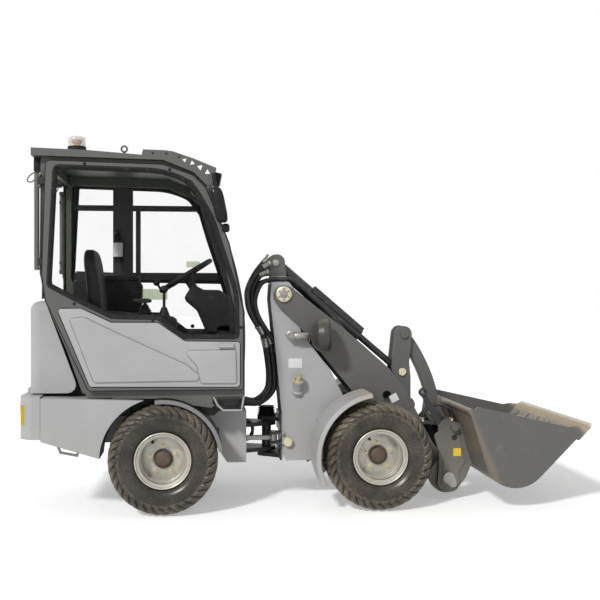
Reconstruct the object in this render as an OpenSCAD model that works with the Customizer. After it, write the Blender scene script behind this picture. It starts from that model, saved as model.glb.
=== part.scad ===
// Compact articulated wheel loader with a full cab, one lift arm and a bucket on a quick hitch.
// X runs forward, Y to the left and Z up. Sizes are millimetres. The origin is the middle of the
// footprint at ground level. Inside the modules X is counted from the rear axle.

/* [Wheels] */
// Outer diameter of the tyres
tyre_d = 660; // [620:5:690]
// Width of the tyres
tyre_w = 304; // [270:2:316]
// Diameter of the rim flange
rim_d = 336; // [300:2:380]
// Height of the tread blocks
lug_h = 16; // [8:1:22]
// Tread blocks in each row round a tyre
lug_count = 32; // [18:2:36]
// Distance between the wheel centres across the machine
track = 896; // [880:2:940]
// Distance between the axles
wheelbase = 1310; // [1280:5:1400]

/* [Rear chassis] */
// Distance from the rear axle to the back of the counterweight
rear_overhang = 840; // [800:5:900]
// Width of the rear body
body_w = 1090; // [1060:5:1140]
// Width over the main rails
rails_w = 530; // [490:5:550]
// Width of the engine hood
hood_w = 860; // [760:5:940]
// Height of the hood's top above the ground
hood_top = 1283; // [1220:1:1300]

/* [Cab] */
// Width over the cab's side frames
cab_w = 980; // [940:5:1000]
// Thickness of a door
door_t = 30; // [24:1:40]
// Height of the roof's back edge above the ground
roof_top = 2182; // [2160:1:2260]
// Width of the roof
roof_w = 1070; // [1050:5:1120]

/* [Arm] */
// Width over the tower's side plates
tower_w = 330; // [300:2:350]
// Width over the arm's side plates
boom_w = 390; // [380:2:430]
// Radius of the arm's pivot pin
boom_pin_r = 34; // [26:1:40]
// Outer radius of the tilt cylinder
tilt_r = 42; // [34:1:46]

/* [Bucket] */
// Width of the bucket
bucket_w = 1280; // [1240:5:1400]
// Thickness of the bucket's shell
bucket_t = 10; // [8:1:16]
// Length of the bucket's flat floor
floor_l = 462; // [420:2:520]
// Angle to which the bucket is rolled back at rest
rolled_back = 45; // [38:1:48]

/* [Hidden] */
$fn = 48;
// Larger tyres lift the body off the axles, so that the guards keep their room
rise = max(0, (tyre_d - 660) / 2);
lift_z = (tyre_d - 660) / 2 + rise;
axle_z = 330 - rise;
fx = wheelbase;
px = wheelbase / 2;
// The arm keeps its place before the centre joint and the cab's front its place behind it
tx = px + 655;
cx = px - 655;
arch_r = tyre_d / 2 + 42;
guard_r = tyre_d / 2 + 22;
fender_r = tyre_d / 2 + 56;
rail_t = 25;
rails_y = rails_w / 2;
guard_in = rails_y + 4;
body_y = body_w / 2;
cab_y = cab_w / 2;
door_y = cab_y + 6;
hood_y = hood_w / 2;
tower_y = tower_w / 2;
tower_t = 25;
boom_y = boom_w / 2;
boom_t = 20;
boom_in = boom_y - boom_t;
fit = 0.3;

// Pin centres of the arm and its linkage, as [X, Z]
pin_a = [tx - 557, 1321];
pin_b = [tx - 600, 1525];
pin_0 = [tx + 250, 602];
pin_1 = [tx + 238, 808];
pin_2 = [tx + 254, 1055];
pin_3 = [tx + 437, 545];
pin_4 = [tx + 490, 150];
lift_0 = [tx - 530, 374];
lift_1 = [tx - 360, 1055];

// Pin centres of the steering cylinder, as [X, Y]
steer_0 = [px - 415, -150];
steer_1 = [px + 33, -150];

// Bucket corners beside the hitch pin, as [X, Z] with the floor level
bucket_arc_c = [378, -95];
bucket_arc_r = 212;
bucket_tip = [bucket_arc_c[0] + floor_l, bucket_arc_c[1] - bucket_arc_r];
bucket_back = bucket_arc_c + bucket_arc_r * [cos(171), sin(171)];
bucket_top = [351, 281];

function turned(p, a) = [p[0] * cos(a) - p[1] * sin(a), p[0] * sin(a) + p[1] * cos(a)];

front_x = pin_4[0] + turned(bucket_tip, rolled_back)[0];
x_mid = (front_x - rear_overhang) / 2;

light_paint = [0.62, 0.63, 0.65];
dark_paint = [0.33, 0.33, 0.33];
black = [0.08, 0.08, 0.08];
rubber = [0.13, 0.12, 0.11];
silver = [0.72, 0.72, 0.7];
zinc = [0.8, 0.74, 0.5];
chrome = [0.85, 0.86, 0.88];
glass = [0.35, 0.42, 0.4, 0.5];

// Points of one corner, rounded to radius r
function unit(v) = v / norm(v);
function corner(a, p, b, r, n) =
    let (u = unit(a - p), v = unit(b - p), h = acos(u * v) / 2)
    r <= 0 ? [p] :
    let (d = r / tan(h), c = p + unit(u + v) * r / sin(h), s = p + u * d - c, e = p + v * d - c,
        a0 = atan2(s[1], s[0]), sweep = (atan2(e[1], e[0]) - a0 + 540) % 360 - 180)
    [for (i = [0:n]) c + r * [cos(a0 + sweep * i / n), sin(a0 + sweep * i / n)]];

// Outline through rows of [X, Z, corner radius]
function rounded(rows, n = 4) =
    let (k = len(rows))
    [for (i = [0:k - 1])
        let (p = rows[i], a = rows[(i + k - 1) % k], b = rows[(i + 1) % k])
        each corner([a[0], a[1]], [p[0], p[1]], [b[0], b[1]], p[2], n)];

// Outline moved inwards by d; the points run anticlockwise
function inset(p, d) =
    let (k = len(p))
    [for (i = [0:k - 1])
        let (a = p[(i + k - 1) % k], b = p[i], c = p[(i + 1) % k], u = unit([b[0] - a[0], b[1] - a[1]]),
            v = unit([c[0] - b[0], c[1] - b[1]]), m = [-u[1], u[0]], w = [-v[1], v[0]])
        [b[0], b[1]] + (m + w) * d / (1 + m * w)];

// Draws an XZ outline between two Y planes
module on_y(y0, y1) {
    translate([0, y1, 0]) rotate([90, 0, 0]) linear_extrude(y1 - y0) children();
}

// Draws on the left and on the right
module both_sides() {
    children();
    mirror([0, 1, 0]) children();
}

// Pin along Y
module pin_y(p, r, y0, y1) {
    translate([p[0], y0, p[1]]) rotate([-90, 0, 0]) cylinder(r = r, h = y1 - y0);
}

// Round bar from p to q in the XZ plane
module bar_xz(p, q, r, y = 0) {
    translate([p[0], y, p[1]]) rotate([0, atan2(q[0] - p[0], q[1] - p[1]), 0])
        cylinder(r = r, h = norm(q - p));
}

// Ring sector round a Y axis; the outline's X is the radius and its Y the distance to the right
module arc_y(c, a0, a1) {
    translate([c[0], 0, c[1]]) rotate([90, 0, 0]) rotate([0, 0, a0]) rotate_extrude(angle = a1 - a0) children();
}

// Point of a smooth path through the rows of p at u from 0 to len(p) - 1
function path_at(p, u) =
    let (k = len(p) - 1, i = min(floor(u), k - 1), t = u - i, a = p[max(i - 1, 0)], b = p[i], c = p[i + 1],
        d = p[min(i + 2, k)])
    0.5 * (2 * b + t * (c - a) + t * t * (2 * a - 5 * b + 4 * c - d) + t * t * t * (3 * b - a - 3 * c + d));

// Hose of radius r along a smooth path, as a band of flat faces
module hose(p, r, steps = 4, sides = 8) {
    n = (len(p) - 1) * steps;
    at = [for (i = [0:n]) path_at(p, i / steps)];
    dir = [for (i = [0:n]) unit(at[min(i + 1, n)] - at[max(i - 1, 0)])];
    ring = [for (i = [0:n]) let (u = unit(cross(dir[i], [0, 1, 0.02])), v = cross(u, dir[i]))
        for (j = [0:sides - 1]) at[i] + r * (u * cos(360 * j / sides) + v * sin(360 * j / sides))];
    walls = [for (i = [0:n - 1]) for (j = [0:sides - 1])
        let (k = (j + 1) % sides)
        [i * sides + j, (i + 1) * sides + j, (i + 1) * sides + k, i * sides + k]];
    first = [for (j = [0:sides - 1]) j];
    last = [for (j = [0:sides - 1]) n * sides + sides - 1 - j];
    polyhedron(points = ring, faces = concat(walls, [first, last]), convexity = 6);
}

// Puts a piece counted from the rear axle into the part's own frame
module placed() {
    translate([-x_mid, 0, lift_z]) children();
}

module rear_frame() color(light_paint) placed() {
    rail = [[-705, 400], [px - 355, 400], [px - 265, 263], [px - 145, 263], [px - 145, 585], [px - 317, 590],
        [px - 347, 560], [-705, 560]];
    difference() {
        union() {
            both_sides() on_y(rails_y - rail_t, rails_y) polygon(rail);
            translate([px - 165, -rails_y, 263]) cube([20, rails_w, 322]);
            translate([-705, -rails_y, 420]) cube([20, rails_w, 140]);
            translate([px - 505, -rails_y, 400]) cube([20, rails_w, 160]);
            for (z = [300, 465]) translate([0, 0, z]) linear_extrude(25) union() {
                polygon([[px - 150, -140], [px + 20, -56], [px + 20, 56], [px - 150, 140]]);
                translate([px, 0]) circle(r = 60);
            }
        }
        translate([px, 0, 250]) cylinder(r = 30, h = 300);
        translate([px - 200, 0, 400]) rotate([0, 90, 0]) cylinder(r = 45, h = 100);
        for (y = [-150, 150]) translate([px - 200, y, 400]) rotate([0, 90, 0]) cylinder(r = 52, h = 100);
    }
    // Lugs of the steering cylinder
    difference() {
        union() {
            translate([px - 485, -205, 370]) cube([20, 110, 60]);
            for (z = [365, 422]) translate([px - 485, -205, z]) cube([110, 110, 13]);
        }
        translate([steer_0[0], steer_0[1], 350]) cylinder(r = 15, h = 100);
    }
}

module pivot_pin() color(zinc) placed() {
    translate([px, 0, 258]) cylinder(r = 30, h = 280);
    translate([px, 0, 538]) cylinder(r = 44, h = 10);
    translate([steer_0[0], steer_0[1], 366]) cylinder(r = 15, h = 68);
}

module axle(x) {
    y = track / 2;
    translate([x, 0, axle_z]) {
        rotate([90, 0, 0]) cylinder(r = 52, h = 2 * (y - 46), center = true);
        rotate([90, 0, 0]) cylinder(r = 30, h = 2 * (y + 10), center = true);
        rotate([90, 0, 0]) cylinder(r = 108, h = 190, center = true);
    }
}

module rear_axle() color(black) placed() {
    axle(0);
    both_sides() translate([-80, rails_y - 60, axle_z + 15]) cube([160, 60, 385 - axle_z]);
}

module engine_block() color(black) placed() {
    y = rails_y - rail_t - 20;
    on_y(-y, y) polygon([[-680, 430], [-60, 430], [-60, 660], [-480, 660], [-625, 1010], [-680, 1010]]);
    both_sides() translate([-600, y - 1, 470]) cube([120, 21, 60]);
}

module counterweight() color(light_paint) placed() {
    plan = rounded([[-rear_overhang, -body_y + 60, 60], [-rear_overhang + 60, -body_y, 50], [-715, -body_y, 0],
        [-715, body_y, 0], [-rear_overhang + 60, body_y, 50], [-rear_overhang, body_y - 60, 60]]);
    difference() {
        translate([0, 0, 463]) linear_extrude(253) polygon(plan);
        translate([-rear_overhang - 1, -60, 480]) cube([70, 120, 60]);
        translate([-rear_overhang + 36, 0, 440]) cylinder(r = 13.5, h = 160);
        both_sides() translate([-rear_overhang - 1, body_y - 190, 620]) cube([13, 120, 60]);
    }
    // Hinge lugs of the hood
    for (y = [-290, -230, 200, 260]) difference() {
        union() {
            translate([-828, y, 716]) cube([24, 30, 20]);
            translate([-816, y, 736]) rotate([-90, 0, 0]) cylinder(r = 12, h = 30);
        }
        translate([-816, y - 1, 736]) rotate([-90, 0, 0]) cylinder(r = 8, h = 32);
    }
    both_sides() translate([-816, 201, 736]) rotate([-90, 0, 0]) cylinder(r = 8, h = 88);
    both_sides() translate([-715, rails_y - 80, 480]) cube([10, 80, 70]);
}

module rear_boxes() color(light_paint) placed() {
    side = rounded([[-714, 450, 6], [-365, 342, 0], [0, 342, 0], [0, 684, 0], [-76, 684, 0], [-714, 706, 8]]);
    both_sides() difference() {
        on_y(rails_y + 4, body_y) polygon(side);
        pin_y([0, axle_z], arch_r, rails_y - 10, body_y + 10, $fn = 180);
    }
    both_sides() translate([-650, rails_y, 470]) cube([180, 5, 60]);
    // Tie-down loops
    loop = [[-636, 440], [-607, 373], [-513, 355], [-486, 400]];
    both_sides() for (i = [0:2]) bar_xz(loop[i], loop[i + 1], 8, body_y - 80);
    both_sides() for (i = [1, 2]) translate([loop[i][0], body_y - 80, loop[i][1]]) sphere(r = 10);
}

module rear_mudguards() color(light_paint) placed() {
    skin = [[guard_r, guard_in], [guard_r + 6, guard_in], [guard_r + 6, body_y], [guard_r - 18, body_y],
        [guard_r - 18, body_y - 6], [guard_r, body_y - 6]];
    both_sides() arc_y([0, axle_z], 8, 98) union() {
        polygon(skin);
        translate([guard_r - 60, guard_in]) square([66, 6]);
    }
    both_sides() translate([300, rails_y, 440]) cube([40, guard_in + 4 - rails_y, 40]);
}

// Side outline of the cab, as rows of [X, Z, corner radius]
roof_z = roof_top - 2182;
cab_side = stretched([[-450, 700, 10], [490, 700, 10], [490, 1212, 60], [399, 1628 + roof_z / 2, 60],
    [262, 1969 + roof_z, 20], [180, 2050 + roof_z, 30], [0, 2120 + roof_z, 30], [-720, 2135 + roof_z, 20],
    [-726, 1444, 20], [-695, 1285, 30]]);

// Rows whose front points move with the cab's front
function stretched(rows) = [for (r = rows) [r[0] + (r[0] > -40 ? cx : 0), r[1], r[2]]];

module cab_frame() color(dark_paint) placed() {
    outer = rounded(cab_side);
    inner = rounded([for (i = [0:len(cab_side) - 1])
        let (q = inset(cab_side, 56)[i]) [q[0], q[1], cab_side[i][2]]]);
    y = cab_y;
    both_sides() on_y(y - 42, y) difference() {
        polygon(outer);
        polygon(inner);
    }
    translate([-440, -y + 10, 702]) cube([920 + cx, 2 * y - 20, 36]);
    on_y(-y + 10, y - 10) polygon([[-448, 702], [-412, 702], [-650, 1262], [-690, 1262]]);
    on_y(-y + 10, y - 10) polygon([[-686, 1255], [-640, 1255], [-640, 1305], [-716, 1305], [-716, 1291], [-690, 1291]]);
    translate([cx + 440, -y + 10, 702]) cube([48, 2 * y - 20, 80]);
    translate([-722, -y + 10, 2070 + roof_z]) cube([50, 2 * y - 20, 50]);
    on_y(-y + 10, y - 10) polygon([[cx + 258, 1966 + roof_z], [cx + 181, 2042 + roof_z],
        [cx + 158, 2022 + roof_z], [cx + 222, 1962 + roof_z]]);
    // Skirts over the rear wheels
    both_sides() difference() {
        on_y(y - 30, y) polygon([[-300, 694], [-48, 691], [cx + 190, 646], [cx + 296, 633], [cx + 296, 704],
            [-300, 704]]);
        pin_y([0, axle_z], guard_r + 12, y - 40, y + 10);
    }
    // Hinge lugs of the doors
    both_sides() for (z = [1470, 1950]) for (dz = [0, 62]) difference() {
        translate([-750, y - 30, z + dz]) cube([33, 60, 18]);
        translate([-735, door_y + 12, z + dz - 1]) cylinder(r = 8, h = 20);
    }
    both_sides() for (z = [1470, 1950]) translate([-735, door_y + 12, z]) cylinder(r = 8, h = 80);
    // Mounts under the floor
    both_sides() translate([cx + 180, rails_y - 60, 560]) cube([120, 60, 145]);
    both_sides() translate([-330, rails_y - 18, 560]) cube([120, 18, 145]);
}

module cab_roof() color(dark_paint) placed() {
    z = roof_z;
    y = roof_w / 2;
    shell = [[-770, 2136.3 + z], [cx, 2120.2 + z], [cx + 180.2, 2050.2 + z], [cx + 262.2, 1969 + z],
        [cx + 284, 1984 + z], [cx + 196, 2068 + z], [cx + 6, 2142 + z], [-140, 2150 + z], [-445, 2172 + z],
        [-770, 2182 + z]];
    visor = [[-126, 2144 + z], [cx, 2134 + z], [cx + 190, 2060 + z], [cx + 272, 1978 + z], [cx + 292, 1978 + z],
        [cx + 318, 2077 + z], [cx + 180, 2132 + z], [cx + 60, 2172 + z], [cx + 12, 2178 + z], [-118, 2181 + z]];
    front = [[cx + 264, 1973 + z], [cx + 292, 1978 + z], [cx + 318, 2077 + z], [cx + 306, 2080 + z],
        [cx + 282, 1988 + z]];
    on_y(-y, y) polygon(shell);
    on_y(-y, y) polygon(front);
    // Side plates of the visor with three-cornered holes, as [X, Z, radius, turn]
    holes = [[128, 2121, 15, 160], [174, 2104, 17, -20], [220, 2080, 20, 160], [264, 2050, 19, -30]];
    both_sides() on_y(y - 8, y) difference() {
        polygon(visor);
        for (h = holes) translate([cx + h[0], h[1] + z]) rotate(h[3]) circle(r = h[2], $fn = 3);
    }
    // Ring bolts
    both_sides() translate([-232, y - 60, 2148 + z]) {
        cylinder(r = 9, h = 26);
        translate([0, 0, 42]) rotate([90, 0, 0]) rotate_extrude() translate([17, 0]) circle(r = 5.5);
    }
}

module windshield() color(glass) placed() {
    line = [[cx + 478, 782], [cx + 478, 1206], [cx + 390, 1615 + roof_z / 2], [cx + 246, 1963.4 + roof_z]];
    back = [for (i = [3:-1:0]) line[i] - [7, 0]];
    y = cab_y - 42;
    on_y(-y, y) polygon(concat(line, back));
}

module rear_window() color(glass) placed() {
    y = cab_y - 42;
    translate([-712, -y, 1305]) cube([6, 2 * y, 765 + roof_z]);
}

module seat() color(black) placed() {
    translate([-380, -200, 738]) cube([360, 400, 330]);
    on_y(-240, 240) polygon(rounded([[-440, 1068, 20], [60, 1068, 40], [70, 1180, 40], [-440, 1160, 30]]));
    on_y(-225, 225) polygon(rounded([[-440, 1161, 20], [-330, 1161, 30], [-400, 1640, 45], [-500, 1640, 45]]));
}

module steering_console() color(black) placed() {
    translate([cx, 0, 0]) {
        on_y(-150, 150) polygon(rounded([[300, 738, 0], [440, 738, 0], [440, 1120, 30], [330, 1120, 30]]));
        bar_xz([340, 1100], [138.75, 1424.7], 28);
    }
}

module steering_wheel() color(black) placed() {
    translate([cx + 128, 0, 1442]) rotate([0, -32, 0]) {
        rotate_extrude() translate([185, 0]) circle(r = 15);
        translate([0, 0, -20]) cylinder(r = 50, h = 34);
        for (a = [90, 210, 330]) rotate([0, 0, a]) translate([30, -14, -10]) cube([150, 28, 12]);
        translate([-185, 0, 5]) cylinder(r = 8, h = 50);
        translate([-185, 0, 62]) sphere(r = 22);
    }
}

module side_console() color(black) placed() {
    on_y(-430, -270) polygon(rounded([[-380, 738, 0], [60, 738, 0], [80, 1180, 40], [-360, 1220, 40]]));
    translate([0, -350, 1170]) cylinder(r1 = 42, r2 = 16, h = 70);
    translate([0, -350, 1230]) cylinder(r = 9, h = 110);
    translate([0, -350, 1350]) sphere(r = 24);
}

module beacon() color([0.8, 0.5, 0.3]) placed() {
    translate([-529, 205 - roof_w / 2, 2176.6 + roof_z]) {
        cylinder(r = 62, h = 26);
        translate([0, 0, 26]) cylinder(r = 52, h = 30);
        translate([0, 0, 56]) intersection() {
            sphere(r = 52);
            cylinder(r = 60, h = 60);
        }
    }
}

module work_lamps() color(black) placed() {
    z = roof_z;
    both_sides() {
        on_y(cab_y - 130, cab_y - 40) polygon([[cx + 295.2, 1989 + z], [cx + 314.4, 2062 + z],
            [cx + 352, 2054 + z], [cx + 338, 1982 + z]]);
        translate([-768, cab_y - 140, 2056 + z]) cube([40, 90, 79.2]);
    }
}

module rear_lamps() color([0.6, 0.1, 0.1]) placed() {
    both_sides() translate([-rear_overhang, body_y - 190, 620]) cube([12, 120, 60]);
}

module wiper() color(black) placed() {
    z = roof_z;
    on_y(-60, 60) polygon([[cx + 285, 1870 + z], [cx + 330, 1870 + z], [cx + 320, 1930 + z], [cx + 260.3, 1930 + z]]);
    bar_xz([cx + 322, 1880 + z], [cx + 442, 1480], 8);
}

module steps() color(black) placed() {
    x = max(cx + 298, 236);
    w = cx + 487 - x;
    outer = [[x, 699.7], [x + 24, 647], [x + 58, 617], [x + w - 15, 620], [x + w, 699.7]];
    inner = [[x + 24, 685], [x + 40, 656], [x + 64, 632], [x + w - 28, 634], [x + w - 16, 685]];
    both_sides() {
        on_y(cab_y - 40, cab_y) difference() {
            polygon(outer);
            polygon(inner);
        }
        translate([x + 56, cab_y - 20, 617]) cube([w - 74, 70, 12]);
    }
}

// Mirrors on arms beside the visor
module mirrors() color(black) placed() {
    z = roof_z;
    y = roof_w / 2;
    side = rounded([[362, 1745 + z, 18], [400, 1745 + z, 18], [345, 1955 + z, 20], [290, 1955 + z, 20]]);
    both_sides() translate([cx, 0, 0]) {
        on_y(y - 5, y + 100) polygon(side);
        translate([299, y + 30, 1935 + z]) cylinder(r = 7, h = 106);
        pin_y([299, 2036 + z], 7, y + fit, y + 37);
    }
}

module engine_hood() color(light_paint) placed() {
    top = hood_top;
    outer = rounded([[-798, 724, 6], [-500, 724, 50], [-705, top, 12], [-798, top - 14, 70]]);
    plan = rounded([[-798, -hood_y, 60], [-470, -hood_y, 0], [-470, hood_y, 0], [-798, hood_y, 60]]);
    back = rounded([[-hood_y, 700, 0], [hood_y, 700, 0], [hood_y, top, 60], [-hood_y, top, 60]]);
    difference() {
        intersection() {
            on_y(-hood_y, hood_y) polygon(outer);
            translate([0, 0, 700]) linear_extrude(top - 690) polygon(plan);
            translate([-820, 0, 0]) rotate([90, 0, 90]) linear_extrude(400) polygon(back);
        }
        // Louvres of the back
        for (i = [0:6]) translate([-802, -150, 800 + 34 * i]) cube([40, 300, 14]);
        on_y(-hood_y + 22, hood_y - 22) polygon([[-776, 700], [-460, 700], [-662, top - 24], [-776, top - 36]]);
    }
    both_sides() difference() {
        union() {
            translate([-816, 232, 722]) cube([22, 26, 28]);
            translate([-816, 232, 736]) rotate([-90, 0, 0]) cylinder(r = 14, h = 26);
        }
        translate([-816, 230, 736]) rotate([-90, 0, 0]) cylinder(r = 8 + fit, h = 30);
    }
}

// Door outline, window and outer panel, as rows of [X, Z, corner radius]
door_edge = stretched([[-440, 742, 20], [482, 742, 15], [482, 1215, 60], [394, 1630 + roof_z / 2, 60],
    [258, 1958 + roof_z, 30], [182, 2034 + roof_z, 50], [0, 2098 + roof_z, 60], [-690, 2114 + roof_z, 30],
    [-712, 1440, 20], [-690, 1280, 40]]);
door_pane = stretched([[117, 1056, 30], [452, 1054, 20], [447, 1331, 60], [300, 1780 + roof_z / 2, 60],
    [173, 2000 + roof_z, 50], [-8, 2066 + roof_z, 60], [-640, 2082 + roof_z, 30], [-676, 1368, 30],
    [-502, 1274, 30], [-301, 1177, 40], [-31, 1171, 40]]);
door_cover = stretched([[-428, 770, 20], [459, 761, 20], [459, 1032, 16], [131, 1037, 40], [-29, 1148, 40],
    [-305, 1150, 40], [-480, 1234, 30], [-619, 1232, 16]]);
door_field_a = stretched([[-404, 793, 20], [208, 799, 12], [218, 832, 16], [142, 896, 40], [-38, 980, 60],
    [-258, 1083, 60], [-462, 1183, 40], [-549, 1174, 12]]);
door_field_b = stretched([[226, 783, 10], [441, 781, 16], [435, 986, 14], [122, 981, 16], [202, 889, 40]]);

module door_shell() {
    difference() {
        on_y(door_y, door_y + door_t) polygon(rounded(door_edge));
        on_y(door_y - 1, door_y + door_t + 1) polygon(rounded(door_pane));
        on_y(door_y + door_t - 14, door_y + door_t - 8)
            polygon(inset(rounded(door_pane), -8));
    }
    // Handle
    translate([cx + 330, door_y + door_t - 1, 1000]) cube([90, 29, 22]);
    for (z = [1470, 1950]) difference() {
        union() {
            translate([-735, door_y + 12, z + 20]) cylinder(r = 14, h = 40);
            translate([-735, door_y + 2, z + 20]) cube([56, 22, 40]);
        }
        translate([-735, door_y + 12, z + 10]) cylinder(r = 8 + fit, h = 60);
    }
}

// Outer panel with two pressed fields
module door_panel() {
    y = door_y + door_t;
    difference() {
        union() {
            on_y(y, y + 6) polygon(rounded(door_cover));
            on_y(y + 5, y + 9) polygon(rounded(door_field_a));
            on_y(y + 5, y + 9) polygon(rounded(door_field_b));
        }
        translate([cx + 329, y - 1, 999]) cube([92, 40, 24]);
    }
}

// Rails and posts inside the left window, as [X from, X to, Z from, Z to]
module window_rails() {
    rows = [[-700, cx + 225, 1905, 1945], [-705, cx + 420, 1422, 1474], [-386, -248, 1470, 1908],
        [-229, -195, 1470, 1908], [-386, -248, 1940, 2090]];
    for (r = rows) translate([r[0], door_y, r[2]]) cube([r[1] - r[0], door_t - 15, r[3] - r[2]]);
}

module door_pane_glass() {
    on_y(door_y + door_t - 14, door_y + door_t - 8) polygon(inset(rounded(door_pane), -8));
}

module door_right() color(dark_paint) placed() mirror([0, 1, 0]) door_shell();
module door_left() color(dark_paint) placed() {
    door_shell();
    window_rails();
}
module door_right_panel() color(light_paint) placed() mirror([0, 1, 0]) door_panel();
module door_left_panel() color(light_paint) placed() door_panel();
module door_right_glass() color(glass) placed() mirror([0, 1, 0]) door_pane_glass();
module door_left_glass() color(glass) placed() door_pane_glass();

// Tyre section beside the wheel's centre, as [radius, distance along the axle]
module tyre() {
    r = tyre_d / 2;
    w = tyre_w / 2;
    crown = r - lug_h;
    half = [[152, w - 34], [rim_d / 2 + 1, w - 34], [rim_d / 2 + 8, w - 18], [rim_d / 2 + 38, w - 3], [235, w],
        [262, w - 2], [crown - 22, w - 12], [crown, w - 34]];
    section = concat(half, [for (i = [len(half) - 1:-1:0]) [half[i][0], -half[i][1]]]);
    step = 360 / lug_count;
    union() {
        rotate_extrude() polygon(section);
        for (i = [0:lug_count - 1]) for (s = [-1, 1]) rotate([0, 0, (i + (s > 0 ? 0.5 : 0)) * step])
            translate([crown - 26, -0.37 * step * r * PI / 180, s > 0 ? 8 : -w + 8])
                cube([lug_h + 26 - 1.5, 0.74 * step * r * PI / 180, w - 16]);
    }
}

module rim() {
    w = tyre_w / 2 - 34;
    r = rim_d / 2;
    difference() {
        union() {
            rotate_extrude() polygon([[138, -w], [r - 4, -w - 8], [r, -w - 4], [r, -w], [152, -w], [152, w], [r, w],
                [r, w + 4], [r - 4, w + 8], [138, w], [136, 20], [50, 30], [50, 46], [0.001, 46], [0.001, -42],
                [62, -42], [62, 8], [138, -4]]);
        }
        translate([0, 0, -50]) cylinder(r = 30 + fit, h = 64);
        for (a = [0:72:359]) rotate([0, 0, a + 20]) translate([80, 0, 0]) cylinder(r = 9, h = 60);
    }
}

// Wheel frame: the wheel's axis runs outwards along Y
module at_wheel(x, s) {
    translate([x - x_mid, s * track / 2, tyre_d / 2]) rotate([-90 * s, 0, 0]) children();
}

module tyre_rear_right() color(rubber) at_wheel(0, -1) tyre();
module rim_rear_right() color(silver) at_wheel(0, -1) rim();
module tyre_rear_left() color(rubber) at_wheel(0, 1) tyre();
module rim_rear_left() color(silver) at_wheel(0, 1) rim();
module tyre_front_right() color(rubber) at_wheel(fx, -1) tyre();
module rim_front_right() color(silver) at_wheel(fx, -1) rim();
module tyre_front_left() color(rubber) at_wheel(fx, 1) tyre();
module rim_front_left() color(silver) at_wheel(fx, 1) rim();

module front_frame() color(light_paint) placed() {
    side = rounded([[tx - 640, 1290, 20], [tx - 632, 1400, 20], [tx - 520, 1400, 20], [tx - 470, 1330, 40],
        [tx - 445, 1078, 60], [tx - 250, 826, 60], [tx - 130, 590, 40], [fx + 60, 450, 30], [fx + 100, axle_z - 50, 20],
        [tx - 350, axle_z - 78, 10], [tx - 540, axle_z - 78, 10], [tx - 565, 300, 10], [tx - 565, 540, 20]]);
    y = tower_y;
    difference() {
        union() {
            both_sides() on_y(y - tower_t, y) polygon(side);
            // Cross plates of the tower and of the base
            translate([tx - 632, -y + 5, 1386]) cube([110, 2 * y - 10, 14]);
            for (r = [[252, 66], [430, 122]]) translate([tx - 578, -y + 5, r[0]]) cube([16, 2 * y - 10, r[1]]);
            translate([fx - 400, -y + 5, axle_z - 65]) cube([270, 2 * y - 10, 16]);
            translate([fx - 150, -y + 5, axle_z - 65]) cube([20, 2 * y - 10, 200]);
            on_y(-y + 5, y - 5) polygon([[tx - 535, 600], [tx - 520, 600], [tx - 588, 1150], [tx - 603, 1150]]);
            // Clip bar of the hoses
            translate([px + 30, 0, 950]) rotate([0, -9, 0]) translate([19.1, -86, -12]) cube([40, 172, 24]);
            // Ears of the centre joint
            for (z = [265, 500]) translate([0, 0, z]) linear_extrude(25) union() {
                polygon([[tx - 560, -y + 10], [tx - 560, y - 10], [px - 20, 56], [px - 20, -56]]);
                translate([px, 0]) circle(r = 60);
            }
            // Lugs of the tilt cylinder
            both_sides() on_y(52, 74) polygon(rounded([[tx - 625, 1390, 0], [tx - 525, 1390, 0],
                [pin_b[0] + 57, pin_b[1] + 57, 50], [pin_b[0] - 57, pin_b[1] + 57, 50]]));
        }
        translate([px, 0, 240]) cylinder(r = 30 + fit, h = 320);
        pin_y(pin_a, boom_pin_r, -300, 300);
        pin_y(pin_b, 22, -100, 100);
        pin_y(lift_0, 22, -300, 300);
        pin_y([fx, axle_z], 52, -300, 300);
        pin_y([fx, axle_z], 112, -100, 100);
    }
    // Lugs of the steering cylinder
    for (z = [362, 424]) translate([tx - 644, -190, z]) cube([88, 80, 14]);
    // Filler neck on the right side
    translate([tx - 466, 12 - tower_y, 678]) rotate([32, 0, 0]) cylinder(r = 31, h = 100);
}

module front_axle() color(black) placed() {
    axle(fx);
}

module front_fenders() color(light_paint) placed() {
    skin = [[fender_r, 258], [fender_r + 6, 258], [fender_r + 6, 588], [fender_r - 16, 612], [fender_r - 20, 608],
        [fender_r, 586]];
    both_sides() arc_y([fx, axle_z], 98, 205) union() {
        polygon(skin);
        translate([fender_r - 60, 258]) square([66, 6]);
    }
    both_sides() translate([fx - (fender_r - 30) * cos(28) - 30, tower_y, axle_z + (fender_r - 30) * sin(28) - 25])
        cube([60, 262 - tower_y, 50]);
}

module headlamps() color(black) placed() {
    y = boom_y + 116;
    dome = [[0, -55], [34, -52], [68, -40], [92, -16], [104, 16], [106, 40], [104, 52], [96, 56], [0, 50]];
    both_sides() {
        translate([tx - 340, y, 1060]) rotate([0, 90, 0]) rotate_extrude() polygon(dome);
        translate([tx - 530, tower_y, 1040]) cube([50, boom_y + 20 - tower_y, 28]);
        translate([tx - 530, boom_y + 12, 1040]) cube([150, 22, 28]);
        translate([tx - 406, boom_y + 12, 1040]) cube([26, 90, 28]);
    }
}

module tower_pins() color(zinc) placed() {
    pin_y(pin_a, boom_pin_r, -boom_y - 6, boom_y + 6);
    both_sides() pin_y(pin_a, boom_pin_r + 14, boom_y + 2, boom_y + 14);
    pin_y(pin_b, 22, -82, 82);
    pin_y(lift_0, 22, -tower_y - 26, tower_y + 26);
    for (z = [356, 438]) translate([steer_1[0], steer_1[1], z]) cylinder(r = 18, h = 6);
    // Cap of the filler neck
    translate([tx - 466, 12 - tower_y, 678]) rotate([32, 0, 0]) translate([0, 0, 100 + fit]) {
        cylinder(r = 25, h = 40);
        cylinder(r = 34, h = 14);
    }
}

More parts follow.
